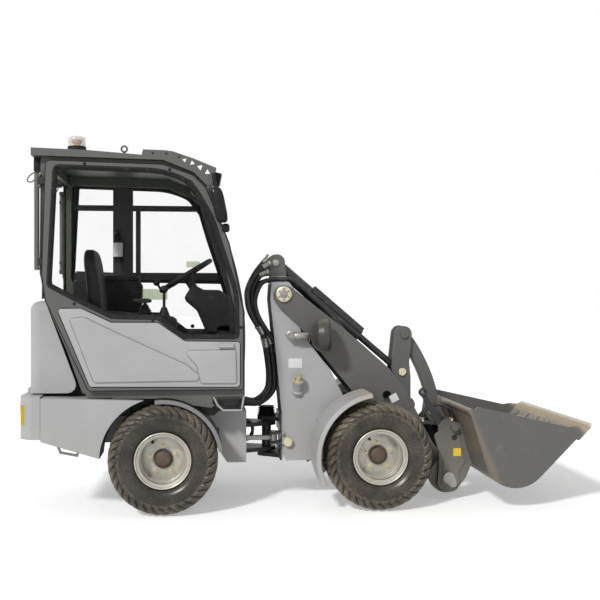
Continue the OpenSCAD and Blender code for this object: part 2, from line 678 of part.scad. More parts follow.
// Hoses from the rear frame up the back of the tower
module tower_hoses() color(black) placed() {
    for (y = [-66, -22, 22, 66]) hose([[px - 136, y, 613], [px - 46, y, 618], [px + 34, y, 690],
        [px + 48, y, 790], [px + 30, y, 950], [px + 6, y, 1055], [px - 68, y, 1186], [px - 92, y, 1272],
        [px - 92, y, 1360], [px - 50, y, 1440], [px - 14, y, 1462]], 19);
}

// Hoses from the tower over the arm's pivot to the tilt cylinder
module arm_hoses() color(black) placed() {
    for (y = [-112, 112]) hose([[px - 80, y, 1290], [px - 40, y, 1390], [px + 30, y, 1415.4],
        [px + 90, y, 1416.6], [px + 150, y, 1416.6], [px + 226, y, 1362], [px + 313, y, 1280]], 15);
}

module boom() color(dark_paint) placed() {
    side = rounded([[tx - 630, 1300, 60], [tx - 600, 1402, 70], [tx - 500, 1360, 60], [tx - 154, 1089, 60],
        [tx + 133, 836, 60], [tx + 235, 702, 60], [tx + 330, 520, 40], [tx + 410, 366, 40],
        [tx + 572, 150, 56], [tx + 500, 66, 56], [tx + 400, 120, 60], [tx + 60, 560, 120],
        [tx - 80, 655, 60], [tx - 220, 826, 40], [tx - 470, 1130, 60], [tx - 590, 1240, 50]]);
    difference() {
        union() {
            both_sides() on_y(boom_in, boom_y) polygon(side);
            // Top plate, bottom plate and cross tubes
            on_y(-boom_in - 5, boom_in + 5) polygon([[tx - 150, 1060], [tx + 110, 832], [tx + 98, 819],
                [tx - 162, 1047]]);
            on_y(-boom_in - 5, boom_in + 5) polygon([[tx - 60, 660], [tx + 80, 570], [tx + 420, 140],
                [tx + 404, 128], [tx + 66, 556], [tx - 70, 646]]);
            both_sides() pin_y(pin_0, 52, 84, boom_in + 5);
            both_sides() pin_y(pin_4, 62, 84, boom_in + 5);
        }
        pin_y(pin_a, boom_pin_r + fit, -300, 300);
        pin_y(pin_0, 26, -300, 300);
        pin_y(pin_4, 30, -300, 300);
        both_sides() for (p = [[113, 668], [224, 545]]) pin_y([tx + p[0], p[1]], 28, boom_in - 1, boom_y + 10);
    }
    both_sides() pin_y(lift_1, 34, 60, boom_in + 5);
}

// Cylinder barrel and rod from pin p to pin q; the eye of each has a bore
module lift_barrel() color(black) placed() {
    d = unit(lift_1 - lift_0);
    difference() {
        union() {
            bar_xz(lift_0 + d * 30, lift_0 + d * 590, 40);
            pin_y(lift_0, 36, -44, 44);
        }
        bar_xz(lift_0 + d * 60, lift_0 + d * 600, 22 + fit);
        pin_y(lift_0, 22 + fit, -60, 60);
    }
}

module lift_rod() color(chrome) placed() {
    d = unit(lift_1 - lift_0);
    bar_xz(lift_0 + d * 120, lift_1 - d * 20, 22);
    pin_y(lift_1, 36, -44, 44);
}

module tilt_barrel() color(black) placed() {
    d = unit(pin_1 - pin_b);
    n = [-d[1], d[0]];
    difference() {
        union() {
            bar_xz(pin_b + d * 30, pin_b + d * 740, tilt_r);
            pin_y(pin_b, 46, -46, 46);
            // Cover box on the barrel's front half
            on_y(-46, 46) polygon([pin_b + d * 300 + n * 20, pin_b + d * 730 + n * 20, pin_b + d * 730 + n * 58,
                pin_b + d * 300 + n * 58]);
        }
        bar_xz(pin_b + d * 70, pin_b + d * 760, 22 + fit);
        pin_y(pin_b, 22 + fit, -60, 60);
    }
}

module tilt_rod() color(black) placed() {
    d = unit(pin_1 - pin_b);
    bar_xz(pin_b + d * 340, pin_1 - d * 20, 22);
    pin_y(pin_1, 40, -44, 44);
}

module steer_barrel() color(black) placed() {
    translate([steer_0[0], steer_0[1], 400]) difference() {
        union() {
            rotate([0, 90, 0]) translate([0, 0, 50]) cylinder(r = 32, h = 225);
            rotate([0, 90, 0]) cylinder(r = 18, h = 60);
            translate([0, 0, -20]) cylinder(r = 30, h = 40);
        }
        rotate([0, 90, 0]) translate([0, 0, 75]) cylinder(r = 16 + fit, h = 400);
        translate([0, 0, -60]) cylinder(r = 15 + fit, h = 120);
    }
}

module steer_rod() color(chrome) placed() {
    translate([steer_0[0] + 190, steer_0[1], 400]) rotate([0, 90, 0])
        cylinder(r = 16, h = steer_1[0] - steer_0[0] - 200);
    translate([steer_1[0], steer_1[1], 380]) cylinder(r = 26, h = 40);
}

module lever_pin() color(zinc) placed() {
    pin_y(pin_0, 26 - fit, -boom_y - 4, boom_y + 4);
}

module lever() color(dark_paint) placed() {
    side = rounded([[pin_0[0] - 46, pin_0[1] - 46, 44], [pin_0[0] + 46, pin_0[1] - 46, 44],
        [pin_1[0] + 58, pin_1[1] - 30, 60], [pin_1[0] + 48, pin_1[1] + 60, 60], [pin_2[0] + 57, pin_2[1] + 57, 54],
        [pin_2[0] - 57, pin_2[1] + 57, 54], [pin_1[0] - 72, pin_1[1] + 20, 60], [pin_1[0] - 40, pin_1[1] - 40, 60]]);
    difference() {
        union() {
            both_sides() on_y(54, 76) polygon(side);
            pin_y(pin_0, 46, -76, 76);
        }
        pin_y(pin_0, 26, -100, 100);
        pin_y(pin_2, 24, -100, 100);
    }
    both_sides() pin_y(pin_1, 24, 60, 84);
}

module link_pin() color(zinc) placed() {
    pin_y(pin_2, 24 - fit, -84, 84);
}

module link() color(dark_paint) placed() {
    a = pin_2;
    b = pin_3;
    d = unit(b - a);
    n = [-d[1], d[0]];
    m = (a + b) / 2;
    side = rounded([concat(a - d * 52 - n * 44, 40), concat(a - d * 52 + n * 44, 40), concat(m + n * 150, 160),
        concat(b + d * 40 + n * 40, 36), concat(b + d * 40 - n * 40, 36), concat(m + n * 60, 160)], 8);
    difference() {
        on_y(-44, 44) polygon(side);
        pin_y(a, 24, -60, 60);
    }
}

module hitch_pin() color(zinc) placed() {
    pin_y(pin_4, 30 - fit, -306, 306);
    // Locking plates
    both_sides() on_y(293, 301) union() {
        translate(pin_4 + [6, -6]) circle(r = 38);
        translate(pin_4 + [34, -44]) circle(r = 24);
        polygon([pin_4 + [42, 8], pin_4 + [57, -37], pin_4 + [12, -54], pin_4 + [-24, -30]]);
    }
}

// Spacers between the arm and the hitch
module hitch_spacers() color(dark_paint) placed() {
    both_sides() difference() {
        pin_y(pin_4, 108, boom_y + 5, 252);
        pin_y(pin_4, 30, boom_y, 260);
    }
}

module quick_hitch() color(dark_paint) placed() {
    x = pin_4[0];
    z = pin_4[1];
    gap = [0.05, 0];
    low = turned(bucket_back, rolled_back) + pin_4 - gap;
    high = turned(bucket_top, rolled_back) + pin_4 - gap;
    q0 = low + (high - low) * 0.03;
    q1 = low + (high - low) * 0.72;
    w = unit(high - low);
    v = [w[1], -w[0]];
    side = rounded([[x - 66, z - 60, 30], [x - 20, z - 100, 30], [x + 50, z - 96, 30], [x + 120, z - 10, 20],
        concat(q0, 0), concat(q1, 8), [x - 18, z + 372, 20], [x - 60, z + 330, 20], [x - 56, z + 60, 30]]);
    arm = rounded([[x - 104, z + 352, 44], [x + 40, z + 300, 10], [x + 48, z + 345, 20], [x + 6, z + 420, 20],
        [x - 54, z + 442, 44]]);
    hook = rounded([[x - 90, z + 270, 20], [x - 62, z + 176, 20], [x - 24, z + 96, 30], [x - 44, z - 50, 20],
        [x + 13, z - 92, 30], [x + 78, z - 40, 20], [x + 72, z + 30, 20], [x + 112, z + 92, 20],
        [x + 70, z + 300, 20], [x + 54, z + 350, 14], [x - 50, z + 300, 20]]);
    eye = [x - 160, z + 543];
    difference() {
        union() {
            both_sides() on_y(256, 286) polygon(side);
            both_sides() on_y(285, 291) polygon(hook);
            both_sides() on_y(58, 80) polygon(arm);
            on_y(-258, 258) polygon([low + w * 20, low + w * 270, low + w * 270 - v * 40, low + w * 20 - v * 40]);
            pin_y([x + 40, z + 320], 24, -330, 330);
            // Release lever with an eye, and the bracket of the hoses
            on_y(-284, -270) polygon([[x - 62, z + 318], [x - 30, z + 352], eye + [14, -8], eye + [-14, -14]]);
            pin_y(eye, 27, -284, -270);
            on_y(-258, -200) polygon([[x - 58, z + 330], [x - 58, z + 352.6], [x - 166, z + 352.6], [x - 166, z + 336]]);
        }
        pin_y(pin_4, 30, -310, 310);
        pin_y(eye, 13, -300, -260);
        both_sides() pin_y([x + 46, z + 250], 18, 280, 300);
    }
    both_sides() pin_y(pin_3, 22, 78, 90);
}

// Hose loops from the bracket over to the hitch's tube
module hitch_hoses() color(black) placed() {
    x = pin_4[0];
    z = pin_4[1];
    for (y = [-246, -227, -209]) hose([[x - 151, y, z + 353.2], [x - 151, y, z + 382], [x - 132, y, z + 422],
        [x - 54, y, z + 455], [x + 22, y, z + 430], [x + 41, y, z + 384], [x + 40, y, z + 344.6]], 8.5);
}

module bucket() color(dark_paint) placed() {
    c = bucket_arc_c;
    r = bucket_arc_r;
    t = bucket_t;
    top = bucket_top;
    tip = bucket_tip;
    lip = [tip[0] - 78, tip[1] + 58];
    arc = [for (a = [270:-9:171]) c + r * [cos(a), sin(a)]];
    arc_in = [for (a = [171:9:270]) c + (r - t) * [cos(a), sin(a)]];
    shell = concat([tip], arc, [top], [top + [t, -2]], arc_in, [[tip[0] - 40, tip[1] + t]]);
    side = concat([tip - [30, 0]], arc, [top], [top + [60, -6]], [lip + [-40, 30]], [lip]);
    translate([pin_4[0], 0, pin_4[1]]) rotate([0, -rolled_back, 0]) {
        on_y(-bucket_w / 2, bucket_w / 2) polygon(shell);
        both_sides() on_y(bucket_w / 2 - 14, bucket_w / 2) polygon(side);
        // Cutting edge and the tube along the back's top edge
        on_y(-bucket_w / 2, bucket_w / 2) polygon([tip, tip + [-130, 0], tip + [-130, -16], tip + [-20, -16]]);
        pin_y(top + [12, -4], 20, -bucket_w / 2, bucket_w / 2);
        // Wear pads along the edge
        for (i = [0:5]) translate([tip[0] - 128, (i - 2.5) * bucket_w / 6.4 - 20, tip[1] + t - 0.5]) cube([46, 40, 8]);
    }
}

rear_frame();
pivot_pin();
rear_axle();
engine_block();
counterweight();
rear_boxes();
rear_mudguards();
cab_frame();
cab_roof();
windshield();
rear_window();
seat();
steering_console();
steering_wheel();
side_console();
beacon();
work_lamps();
rear_lamps();
wiper();
steps();
mirrors();
engine_hood();
door_right();
door_right_panel();
door_right_glass();
door_left();
door_left_panel();
door_left_glass();
tyre_rear_right();
rim_rear_right();
tyre_rear_left();
rim_rear_left();
tyre_front_right();
rim_front_right();
tyre_front_left();
rim_front_left();
front_frame();
front_axle();
front_fenders();
headlamps();
tower_pins();
tower_hoses();
arm_hoses();
boom();
lift_barrel();
lift_rod();
tilt_barrel();
tilt_rod();
steer_barrel();
steer_rod();
lever_pin();
lever();
link_pin();
link();
hitch_pin();
hitch_spacers();
quick_hitch();
hitch_hoses();
bucket();
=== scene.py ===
"""Looks of a compact articulated wheel loader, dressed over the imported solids."""
import math

import bmesh
import bpy
import numpy as np
from bpy.props import FloatProperty, FloatVectorProperty, IntProperty, PointerProperty
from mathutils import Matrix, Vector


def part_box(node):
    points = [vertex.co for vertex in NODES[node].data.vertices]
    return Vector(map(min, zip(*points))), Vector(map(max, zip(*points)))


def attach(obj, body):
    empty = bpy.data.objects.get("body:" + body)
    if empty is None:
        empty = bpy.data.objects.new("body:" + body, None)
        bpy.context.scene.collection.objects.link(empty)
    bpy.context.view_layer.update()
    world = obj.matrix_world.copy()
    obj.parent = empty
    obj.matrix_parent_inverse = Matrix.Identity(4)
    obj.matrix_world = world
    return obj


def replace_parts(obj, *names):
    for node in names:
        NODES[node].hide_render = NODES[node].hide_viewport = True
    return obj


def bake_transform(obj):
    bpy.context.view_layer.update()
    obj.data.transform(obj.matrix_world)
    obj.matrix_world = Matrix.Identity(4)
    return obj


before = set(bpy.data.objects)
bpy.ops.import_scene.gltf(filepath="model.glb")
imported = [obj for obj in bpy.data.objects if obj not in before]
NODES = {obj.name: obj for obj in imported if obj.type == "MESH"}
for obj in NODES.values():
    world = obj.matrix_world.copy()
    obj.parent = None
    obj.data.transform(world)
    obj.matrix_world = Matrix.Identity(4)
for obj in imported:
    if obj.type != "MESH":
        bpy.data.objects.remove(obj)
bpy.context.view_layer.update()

bl_info = {
    "name": "Compact loader looks",
    "version": (1, 0, 0),
    "blender": (4, 5, 0),
    "location": "3D View > Sidebar > Loader",
    "description": "Adds finishes, tyres, hoses, trim and a studio to the loader's solids",
    "category": "Object",
}

MM = 0.001
SIDES = (-1.0, 1.0)
AXES = {"x": (1.0, 0.0, 0.0), "y": (0.0, 1.0, 0.0), "z": (0.0, 0.0, 1.0)}
WHEELS = {"rear_right": -1.0, "rear_left": 1.0, "front_right": -1.0, "front_left": 1.0}


def middle(node):
    """Centre of a node's box, as an array in metres."""
    low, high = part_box(node)
    return (np.array(low) + np.array(high)) / 2


REAR_X = middle("rim_rear_right")[0]
FRONT_X = middle("rim_front_right")[0]


def here(rows):
    """Rows in millimetres, X counted from the rear axle, as metres in the frame.

    A row is a point [X, Y, Z] or a corner [X, Z, radius] of an outline.
    """
    return np.asarray(rows, float) * MM + np.array([REAR_X, 0.0, 0.0])


# Shader maths


class Wire:
    """A node's output that takes Python arithmetic; each operation on values adds one Math node."""

    def __init__(self, graph, socket):
        self.graph = graph
        self.socket = socket

    def math(self, operation, *terms):
        return self.graph.node("ShaderNodeMath", {"operation": operation}, dict(enumerate(terms)))

    def __add__(self, other):
        return self.math("ADD", self, other)

    def __sub__(self, other):
        return self.math("SUBTRACT", self, other)

    def __rsub__(self, other):
        return self.math("SUBTRACT", other, self)

    def __mul__(self, other):
        return self.math("MULTIPLY", self, other)

    def __pow__(self, other):
        return self.math("POWER", self, other)

    def __abs__(self):
        return self.math("ABSOLUTE", self)

    __radd__ = __add__

    def most(self, other):
        return self.math("MAXIMUM", self, other)

    def wave(self):
        return self.math("SINE", self)


class Graph:
    """A node tree, emptied, with a short way to add nodes."""

    def __init__(self, tree):
        self.tree = tree
        tree.nodes.clear()

    def node(self, kind, settings=None, values=None, out=0):
        """Adds a node: its settings first, then the values or links of its sockets."""
        made = self.tree.nodes.new(kind)
        for key, value in (settings or {}).items():
            setattr(made, key, value)
        for key, value in (values or {}).items():
            if isinstance(value, Wire):
                self.tree.links.new(value.socket, made.inputs[key])
            else:
                made.inputs[key].default_value = value
        return None if out is None else Wire(self, made.outputs[out])

    def seen(self):
        """1 for rays from the camera, off a gloss or through glass, 0 for light that bounces."""
        rays = self.node("ShaderNodeLightPath").socket.node.outputs
        kinds = ("Is Camera Ray", "Is Glossy Ray", "Is Transmission Ray")
        camera, glossy, through = (Wire(self, rays[kind]) for kind in kinds)
        return camera.most(glossy).most(through)


class Finish(Graph):
    """One procedural material with the helpers that build its nodes."""

    def __init__(self, name):
        self.material = bpy.data.materials.new(name)
        self.material.use_nodes = True
        super().__init__(self.material.node_tree)
        self.place = self.node("ShaderNodeTexCoord", out="Object")
        self.x, self.y, self.z = self.split(self.place)

    def split(self, vector):
        parts = self.node("ShaderNodeSeparateXYZ", values={0: vector}).socket.node
        return [Wire(self, parts.outputs[i]) for i in range(3)]

    def facing_up(self):
        """How far the surface faces the sky, from -1 to 1."""
        return self.split(self.node("ShaderNodeNewGeometry", out="Normal"))[2]

    def away(self, x, z):
        """Distance from a line along Y."""
        return ((self.x - x) ** 2.0 + (self.z - z) ** 2.0) ** 0.5

    def noise(self, scale, detail=3.0, rough=0.5, stretch=None):
        place = self.place
        if stretch:
            place = self.node("ShaderNodeMapping", values={"Vector": place, "Scale": stretch})
        return self.node("ShaderNodeTexNoise", values={
            "Vector": place, "Scale": scale, "Detail": detail, "Roughness": rough})

    def cells(self, scale):
        values = {"Vector": self.place, "Scale": scale}
        return self.node("ShaderNodeTexVoronoi", values=values, out="Distance")

    def step(self, value, low, high):
        """Smooth step from 0 at low to 1 at high."""
        return self.node("ShaderNodeMapRange", {"interpolation_type": "SMOOTHSTEP"}, {
            "Value": value, "From Min": low, "From Max": high, "To Min": 0.0, "To Max": 1.0})

    def mix(self, factor, one, two):
        """Colour that goes from one to two with the factor."""
        one, two = ((*c, 1.0) if isinstance(c, tuple) else c for c in (one, two))
        return self.node("ShaderNodeMix", {"data_type": "RGBA"}, {0: factor, 6: one, 7: two}, out=2)

    def bump(self, height, strength, distance, edge=0.0):
        """Bump from a height; edge is the radius to which sharp corners look rounded."""
        values = {"Height": height, "Strength": strength, "Distance": distance}
        if edge:
            values["Normal"] = self.node("ShaderNodeBevel", {"samples": 4}, {"Radius": edge})
        return self.node("ShaderNodeBump", values=values)

    def surface(self, **values):
        """Ends the material in one Principled shader; names use _ for the blanks of its sockets."""
        sockets = {key.replace("_", " "): value for key, value in values.items()}
        for key, value in sockets.items():
            if isinstance(value, tuple):
                sockets[key] = (*value, 1.0)
        shader = self.node("ShaderNodeBsdfPrincipled", values=sockets)
        self.node("ShaderNodeOutputMaterial", values={"Surface": shader}, out=None)
        return self.material


def shade(colour, factor):
    return tuple(min(1.0, channel * factor) for channel in colour)


def inner(limit):
    """Mask of what lies nearer to the middle plane than the limit."""
    return lambda f: f.step(abs(f.y), limit + 0.001, limit - 0.001)


def outer(limit):
    """Mask of what lies further out than the limit."""
    return lambda f: f.step(abs(f.y), limit - 0.0005, limit + 0.0005)


def between(low, high):
    """Mask of what lies between two distances from the middle plane."""
    return lambda f: outer(low)(f) * inner(high)(f)


def arch(x, z, radius):
    """Mask of the inner face of a wheel arch."""
    return lambda f: f.step(f.away(x, z), radius + 0.003, radius + 0.001)


def corner(x, z, side):
    """Mask of what lies below z and behind x, or ahead of it where side is -1."""
    return lambda f: f.step((f.x - x) * side, 0.001, -0.001) * f.step(f.z, z + 0.002, z)


def splashed(x):
    """Mask of ragged earth that thickens ahead of x."""
    def mask(f):
        ragged = f.noise(14.0, 6.0, 0.7, stretch=(1.0, 1.0, 0.4)) - 0.5
        return f.step(f.x - x + ragged * 0.25, -0.02, 0.16) * 0.6
    return mask


def above(z):
    """Mask of what lies higher than z."""
    return lambda f: f.step(f.z, z - 0.001, z + 0.001)


def underside(f):
    """Mask of the faces that look down."""
    return f.step(f.facing_up(), -0.3, -0.6)


def painted(name, colour, dust, low_dust=0.3, top_dust=0.35, gloss=0.42, over=()):
    """Sprayed steel: a slightly uneven colour, orange-peel bump, dust that gathers low and on top faces.

    over lists pairs of a mask and the colour that lies there.
    """
    f = Finish(name)
    cloud = f.noise(2.4, 4.0, 0.6)
    grain = f.noise(160.0, 2.0, 0.6)
    base = f.mix(f.step(cloud, 0.3, 0.7), shade(colour, 0.95), shade(colour, 1.04))
    low = f.step(f.z + f.noise(7.0, 5.0, 0.7) * 0.5, 0.95, 0.35) * low_dust
    top = f.step(f.facing_up(), 0.5, 0.98) * f.step(f.noise(5.0, 5.0, 0.65), 0.34, 0.7) * top_dust
    speck = f.step(f.noise(42.0, 6.0, 0.75), 0.58, 0.72) * 0.25
    cover = (low + top) * (0.55 + speck)
    base = f.mix(cover, base, dust)
    scratch = f.step(f.noise(60.0, 2.0, 0.5, stretch=(1.0, 1.0, 9.0)), 0.66, 0.72) * 0.12
    base = f.mix(scratch, base, shade(colour, 1.35))
    peel = f.noise(420.0, 2.0, 0.5)
    rough = gloss + cover * 0.35 + (grain - 0.5) * 0.1
    for mask, shown in over:
        base = f.mix(mask(f), base, shown)
    return f.surface(Base_Color=base, Roughness=rough, Metallic=0.0, Specular_IOR_Level=0.45,
                     Normal=f.bump(peel + cloud * 4.0, 0.12, 0.0006, edge=0.003))


def bucket_steel(name, colour, dust, tip, bend):
    """Painted plate with the paint worn off along the cutting edge and earth stuck inside.

    tip and bend are [X, Z] points on the cutting edge and on the fold of the side.
    """
    f = Finish(name)
    cloud = f.noise(2.8, 4.0, 0.6)
    base = f.mix(f.step(cloud, 0.3, 0.7), shade(colour, 0.94), shade(colour, 1.05))
    back = ((tip[0] - f.x) + (tip[1] - f.z)) * math.sqrt(0.5)
    ragged = f.noise(16.0, 5.0, 0.7) - 0.5
    edge = f.step(back + ragged * 0.07, 0.1, 0.045)
    lip = f.step(back + ragged * 0.03, 0.03, 0.012)
    up = f.step(f.facing_up(), 0.15, 0.6)
    inside = up * f.step(f.noise(9.0, 6.0, 0.7), 0.38, 0.66) * 0.5
    rim = up * f.step(f.noise(24.0, 4.0, 0.6), 0.25, 0.6) * 0.55
    earth = f.mix(f.noise(38.0, 5.0, 0.7), (0.62, 0.53, 0.38), (0.36, 0.28, 0.19))
    base = f.mix(inside.most(rim), base, dust)
    base = f.mix(edge * 0.8, base, earth)
    base = f.mix(lip, base, (0.66, 0.6, 0.48))
    fold = abs((f.x - bend[0]) * 0.927 + (f.z - bend[1]) * 0.375) + ragged * 0.04
    base = f.mix(f.step(fold, 0.034, 0.004) * 0.42, base, (0.27, 0.2, 0.14))
    streak = f.step(f.noise(30.0, 3.0, 0.6, stretch=(0.6, 4.0, 0.6)), 0.6, 0.75) * 0.3
    base = f.mix(streak * (edge + 0.25), base, (0.5, 0.47, 0.42))
    height = f.noise(300.0, 2.0) + edge * f.noise(80.0, 4.0) * 4.0
    return f.surface(Base_Color=base, Roughness=0.45 + edge * 0.25 + inside * 0.3, Metallic=edge * 0.15,
                     Normal=f.bump(height, 0.2, 0.0008, edge=0.003))


def rubber(name, colour, dust, dirt, centre, reach):
    """Tyre rubber: dark with mould lines on the wall, dry earth on the blocks and between them."""
    f = Finish(name)
    away = f.away(centre[0], centre[2])
    patch = f.noise(6.0, 4.0, 0.6)
    fine = f.noise(70.0, 6.0, 0.72)
    shoulder = f.step(away + (patch - 0.5) * 0.02, reach * 0.80, reach * 0.93)
    cover = shoulder * (0.2 + f.step(fine * 0.7 + patch * 0.5, 0.5, 0.85) * 0.65)
    band = f.step(away, 0.25, 0.264) * f.step(away, 0.286, 0.27)
    band = band * f.step(fine + patch * 0.6, 0.6, 1.0) * 0.5
    smear = f.step(fine * 0.5 + patch * 0.8, 0.5, 0.85) * dirt
    base = f.mix(patch, shade(colour, 0.8), shade(colour, 1.2))
    base = f.mix(cover.most(band).most(smear), base, dust)
    wall = f.step(away, reach * 0.58, reach * 0.62) * f.step(away, reach * 0.76, reach * 0.72)
    line = (away * 900.0).wave() * wall
    rough = 0.3 + cover * 0.5 + (fine - 0.5) * 0.3
    return f.surface(Base_Color=base, Roughness=rough, Specular_IOR_Level=0.4,
                     Normal=f.bump(line * 0.4 + f.noise(300.0, 3.0), 0.25, 0.0008))


def rim_paint(name, colour, dust, centre):
    """Silver wheel paint with three dark rings of painted shade that stand in for the rim's steps, browner
    towards the hub.
    """
    f = Finish(name)
    away = f.away(centre[0], centre[2])
    stain = f.noise(22.0, 5.0, 0.7)
    hub = f.step(away, 0.064, 0.056)
    halo = f.step(away + (stain - 0.5) * 0.05, 0.1, 0.05) * 0.5
    base = f.mix(stain, shade(colour, 0.9), shade(colour, 1.08))
    grime = f.step(stain + f.noise(90.0, 4.0) * 0.3, 0.62, 0.9) * 0.5
    base = f.mix(grime.most(halo), base, dust)
    # Painted shade: three dark rings mark the steps of the rim.
    for radius, width in ((0.1555, 0.0022), (0.146, 0.0018), (0.139, 0.003)):
        shade_ring = f.step(abs(away - radius), width, width * 0.3)
        base = f.mix(shade_ring * 0.75, base, (0.09, 0.085, 0.075))
    base = f.mix(hub * 0.85, base, (0.085, 0.055, 0.04))
    height = f.noise(260.0, 2.0) + hub * f.noise(70.0, 4.0) * 3.0
    return f.surface(Base_Color=base, Roughness=0.34 + grime * 0.3 + hub * 0.3,
                     Metallic=0.6 - hub * 0.4 - grime * 0.5, Normal=f.bump(height, 0.12, 0.0006))


def plain(name, colour, roughness, metal=0.0, grain=240.0, bump=0.15, dust=(0.3, 0.26, 0.2), dirt=0.2,
          glow=0.0, shine=0.5):
    """Small parts: one colour broken by cloud and grain, with dust; glow is painted light, a glow on a part
    that is no lamp.
    """
    f = Finish(name)
    cloud = f.noise(11.0, 4.0, 0.6)
    base = f.mix(cloud, shade(colour, 0.85), shade(colour, 1.18))
    cover = f.step(f.noise(28.0, 6.0, 0.7), 0.5, 0.78) * dirt
    base = f.mix(cover, base, dust)
    return f.surface(Base_Color=base, Roughness=roughness + cover * 0.4 + (cloud - 0.5) * 0.12,
                     Metallic=metal - cover * metal, Normal=f.bump(f.noise(grain, 3.0), bump, 0.0006),
                     Emission_Color=base, Emission_Strength=glow, Specular_IOR_Level=shine)


def hose_rubber(name, colour):
    """Hose cover: fine bands along the run and a little dust."""
    f = Finish(name)
    u, v = f.split(f.node("ShaderNodeUVMap", {"uv_map": "run"}))[:2]
    rib = (u * 900.0).wave() * (v * 40.0).wave()
    cloud = f.noise(20.0, 4.0)
    base = f.mix(f.step(cloud, 0.5, 0.8) * 0.35, colour, (0.12, 0.11, 0.095))
    return f.surface(Base_Color=base, Roughness=0.48 + cloud * 0.15, Normal=f.bump(rib, 0.25, 0.0005))


def vinyl(name, colour):
    """Seat cover: pebbled grain with a slight sheen on the high spots."""
    f = Finish(name)
    pebble = f.cells(420.0)
    cloud = f.noise(12.0, 4.0)
    base = f.mix(cloud, shade(colour, 0.8), shade(colour, 1.3))
    return f.surface(Base_Color=base, Roughness=0.5 + cloud * 0.12, Specular_IOR_Level=0.25,
                     Normal=f.bump(pebble, 0.35, 0.0006))


def pane(name, colour, cover):
    """Tinted glass: mostly clear, with faint smears that change its gloss."""
    f = Finish(name)
    smear = f.step(f.noise(6.0, 4.0, 0.6), 0.5, 0.8)
    return f.surface(Base_Color=colour, Roughness=0.03 + smear * 0.06, Alpha=cover + smear * 0.015, IOR=1.45)


def lens(name, colour, cover):
    """Moulded lamp lens with a fine ribbed pattern."""
    f = Finish(name)
    rib = (f.z * 1400.0).wave() * (f.y * 1400.0).wave()
    base = f.mix(f.noise(30.0), shade(colour, 0.85), shade(colour, 1.1))
    return f.surface(Base_Color=base, Roughness=0.14, Alpha=cover, Coat_Weight=0.4,
                     Normal=f.bump(rib, 0.2, 0.0006))


# Surfaces


def grid(points, closed=False, caps=True):
    """A grid of points with its faces. Every row is a loop; closed joins the last row to the first.

    Caps close the first and the last row with one face each.
    """
    n, m = points.shape[:2]
    row, column = np.meshgrid(np.arange(n if closed else n - 1), np.arange(m), indexing="ij")
    below, beside = (row + 1) % n * m, (column + 1) % m
    faces = np.stack([row * m + column, row * m + beside, below + beside, below + column], -1)
    faces = faces.reshape(-1, 4).tolist()
    if caps:
        faces += [list(range(m))[::-1], list(range((n - 1) * m, n * m))]
    return points.reshape(-1, 3), faces


def joined(shapes):
    """Several shapes as one list of points and faces."""
    points, faces, base = [], [], 0
    for p, f in shapes:
        points.append(p)
        faces += [[i + base for i in face] for face in f]
        base += len(p)
    return np.concatenate(points), faces


def both(make):
    """The shapes that a function makes for the right side, -1, and for the left side, 1."""
    return [shape for side in SIDES for shape in make(side)]


def unit(vectors):
    vectors = np.asarray(vectors, float)
    return vectors / np.linalg.norm(vectors, axis=-1, keepdims=True)


def spline(rows, steps=8):
    """Smooth path through the rows: each span is the cubic that leaves and enters along the chords."""
    p = np.asarray(rows, float)
    ends = np.concatenate([p[:1], p, p[-1:]])
    t = (np.arange(steps) / steps)[None, :, None]
    a, b, c, d = (ends[k:len(p) - 1 + k][:, None, :] for k in range(4))
    bend = t ** 2 * (2 * a - 5 * b + 4 * c - d) + t ** 3 * (3 * b - a - 3 * c + d)
    span = 0.5 * (2 * b + t * (c - a) + bend)
    return np.concatenate([span.reshape(-1, p.shape[1]), p[-1:]])


def swept(path, section, up=AXES["y"], closed=False):
    """A section carried along a path: its first axis lies across the path and up, its second across both."""
    ahead = np.roll(path, -1, 0) - np.roll(path, 1, 0)
    if not closed:
        ahead[0], ahead[-1] = path[1] - path[0], path[-1] - path[-2]
    ahead = unit(ahead)
    side = unit(np.cross(ahead, up))
    over = np.cross(side, ahead)
    points = path[:, None] + section[None, :, :1] * side[:, None] + section[None, :, 1:] * over[:, None]
    return grid(points, closed, caps=not closed)


def ring(count, radius):
    """Points of a circle, or of a polygon with few sides."""
    a = np.arange(count) * 2 * math.pi / count
    return radius * np.stack([np.cos(a), np.sin(a)], -1)


def turned(profile, centre, axis, count=48):
    """A profile of [radius, distance along the axis] in millimetres, turned about the axis."""
    along = unit(AXES[axis] if isinstance(axis, str) else axis)
    first = unit(np.cross(along, (0.3, 0.2, 1.0) if abs(along[2]) < 0.9 else AXES["x"]))
    second = np.cross(along, first)
    c = ring(count, 1.0)
    circle = c[:, :1] * first + c[:, 1:] * second
    p = np.asarray(profile, float)[:, None] * MM
    return grid(np.asarray(centre, float) + p[..., :1] * circle[None] + p[..., 1:] * along)


def outward_lines(outline):
    """Unit normals of a closed outline, pointing out."""
    ahead = unit(np.roll(outline, -1, 0) - np.roll(outline, 1, 0))
    normal = np.stack([ahead[:, 1], -ahead[:, 0]], -1)
    x, z = outline.T
    area = np.sum(x * np.roll(z, -1) - np.roll(x, -1) * z)
    return normal if area > 0 else -normal


def slab(outline, y0, y1, rim=0.004, steps=3):
    """A plate in the XZ plane from y0 to y1 with rounded rims: the outline moves in along its normals."""
    a = np.linspace(0, math.pi / 2, steps + 1)
    inset = np.concatenate([rim * (1 - np.sin(a)), rim * (1 - np.cos(a))])
    level = np.concatenate([y0 + rim * (1 - np.cos(a)), y1 - rim * (1 - np.sin(a))])
    xz = outline[None] - inset[:, None, None] * outward_lines(outline)[None]
    return grid(np.stack([xz[..., 0], np.broadcast_to(level[:, None], xz.shape[:2]), xz[..., 1]], -1))


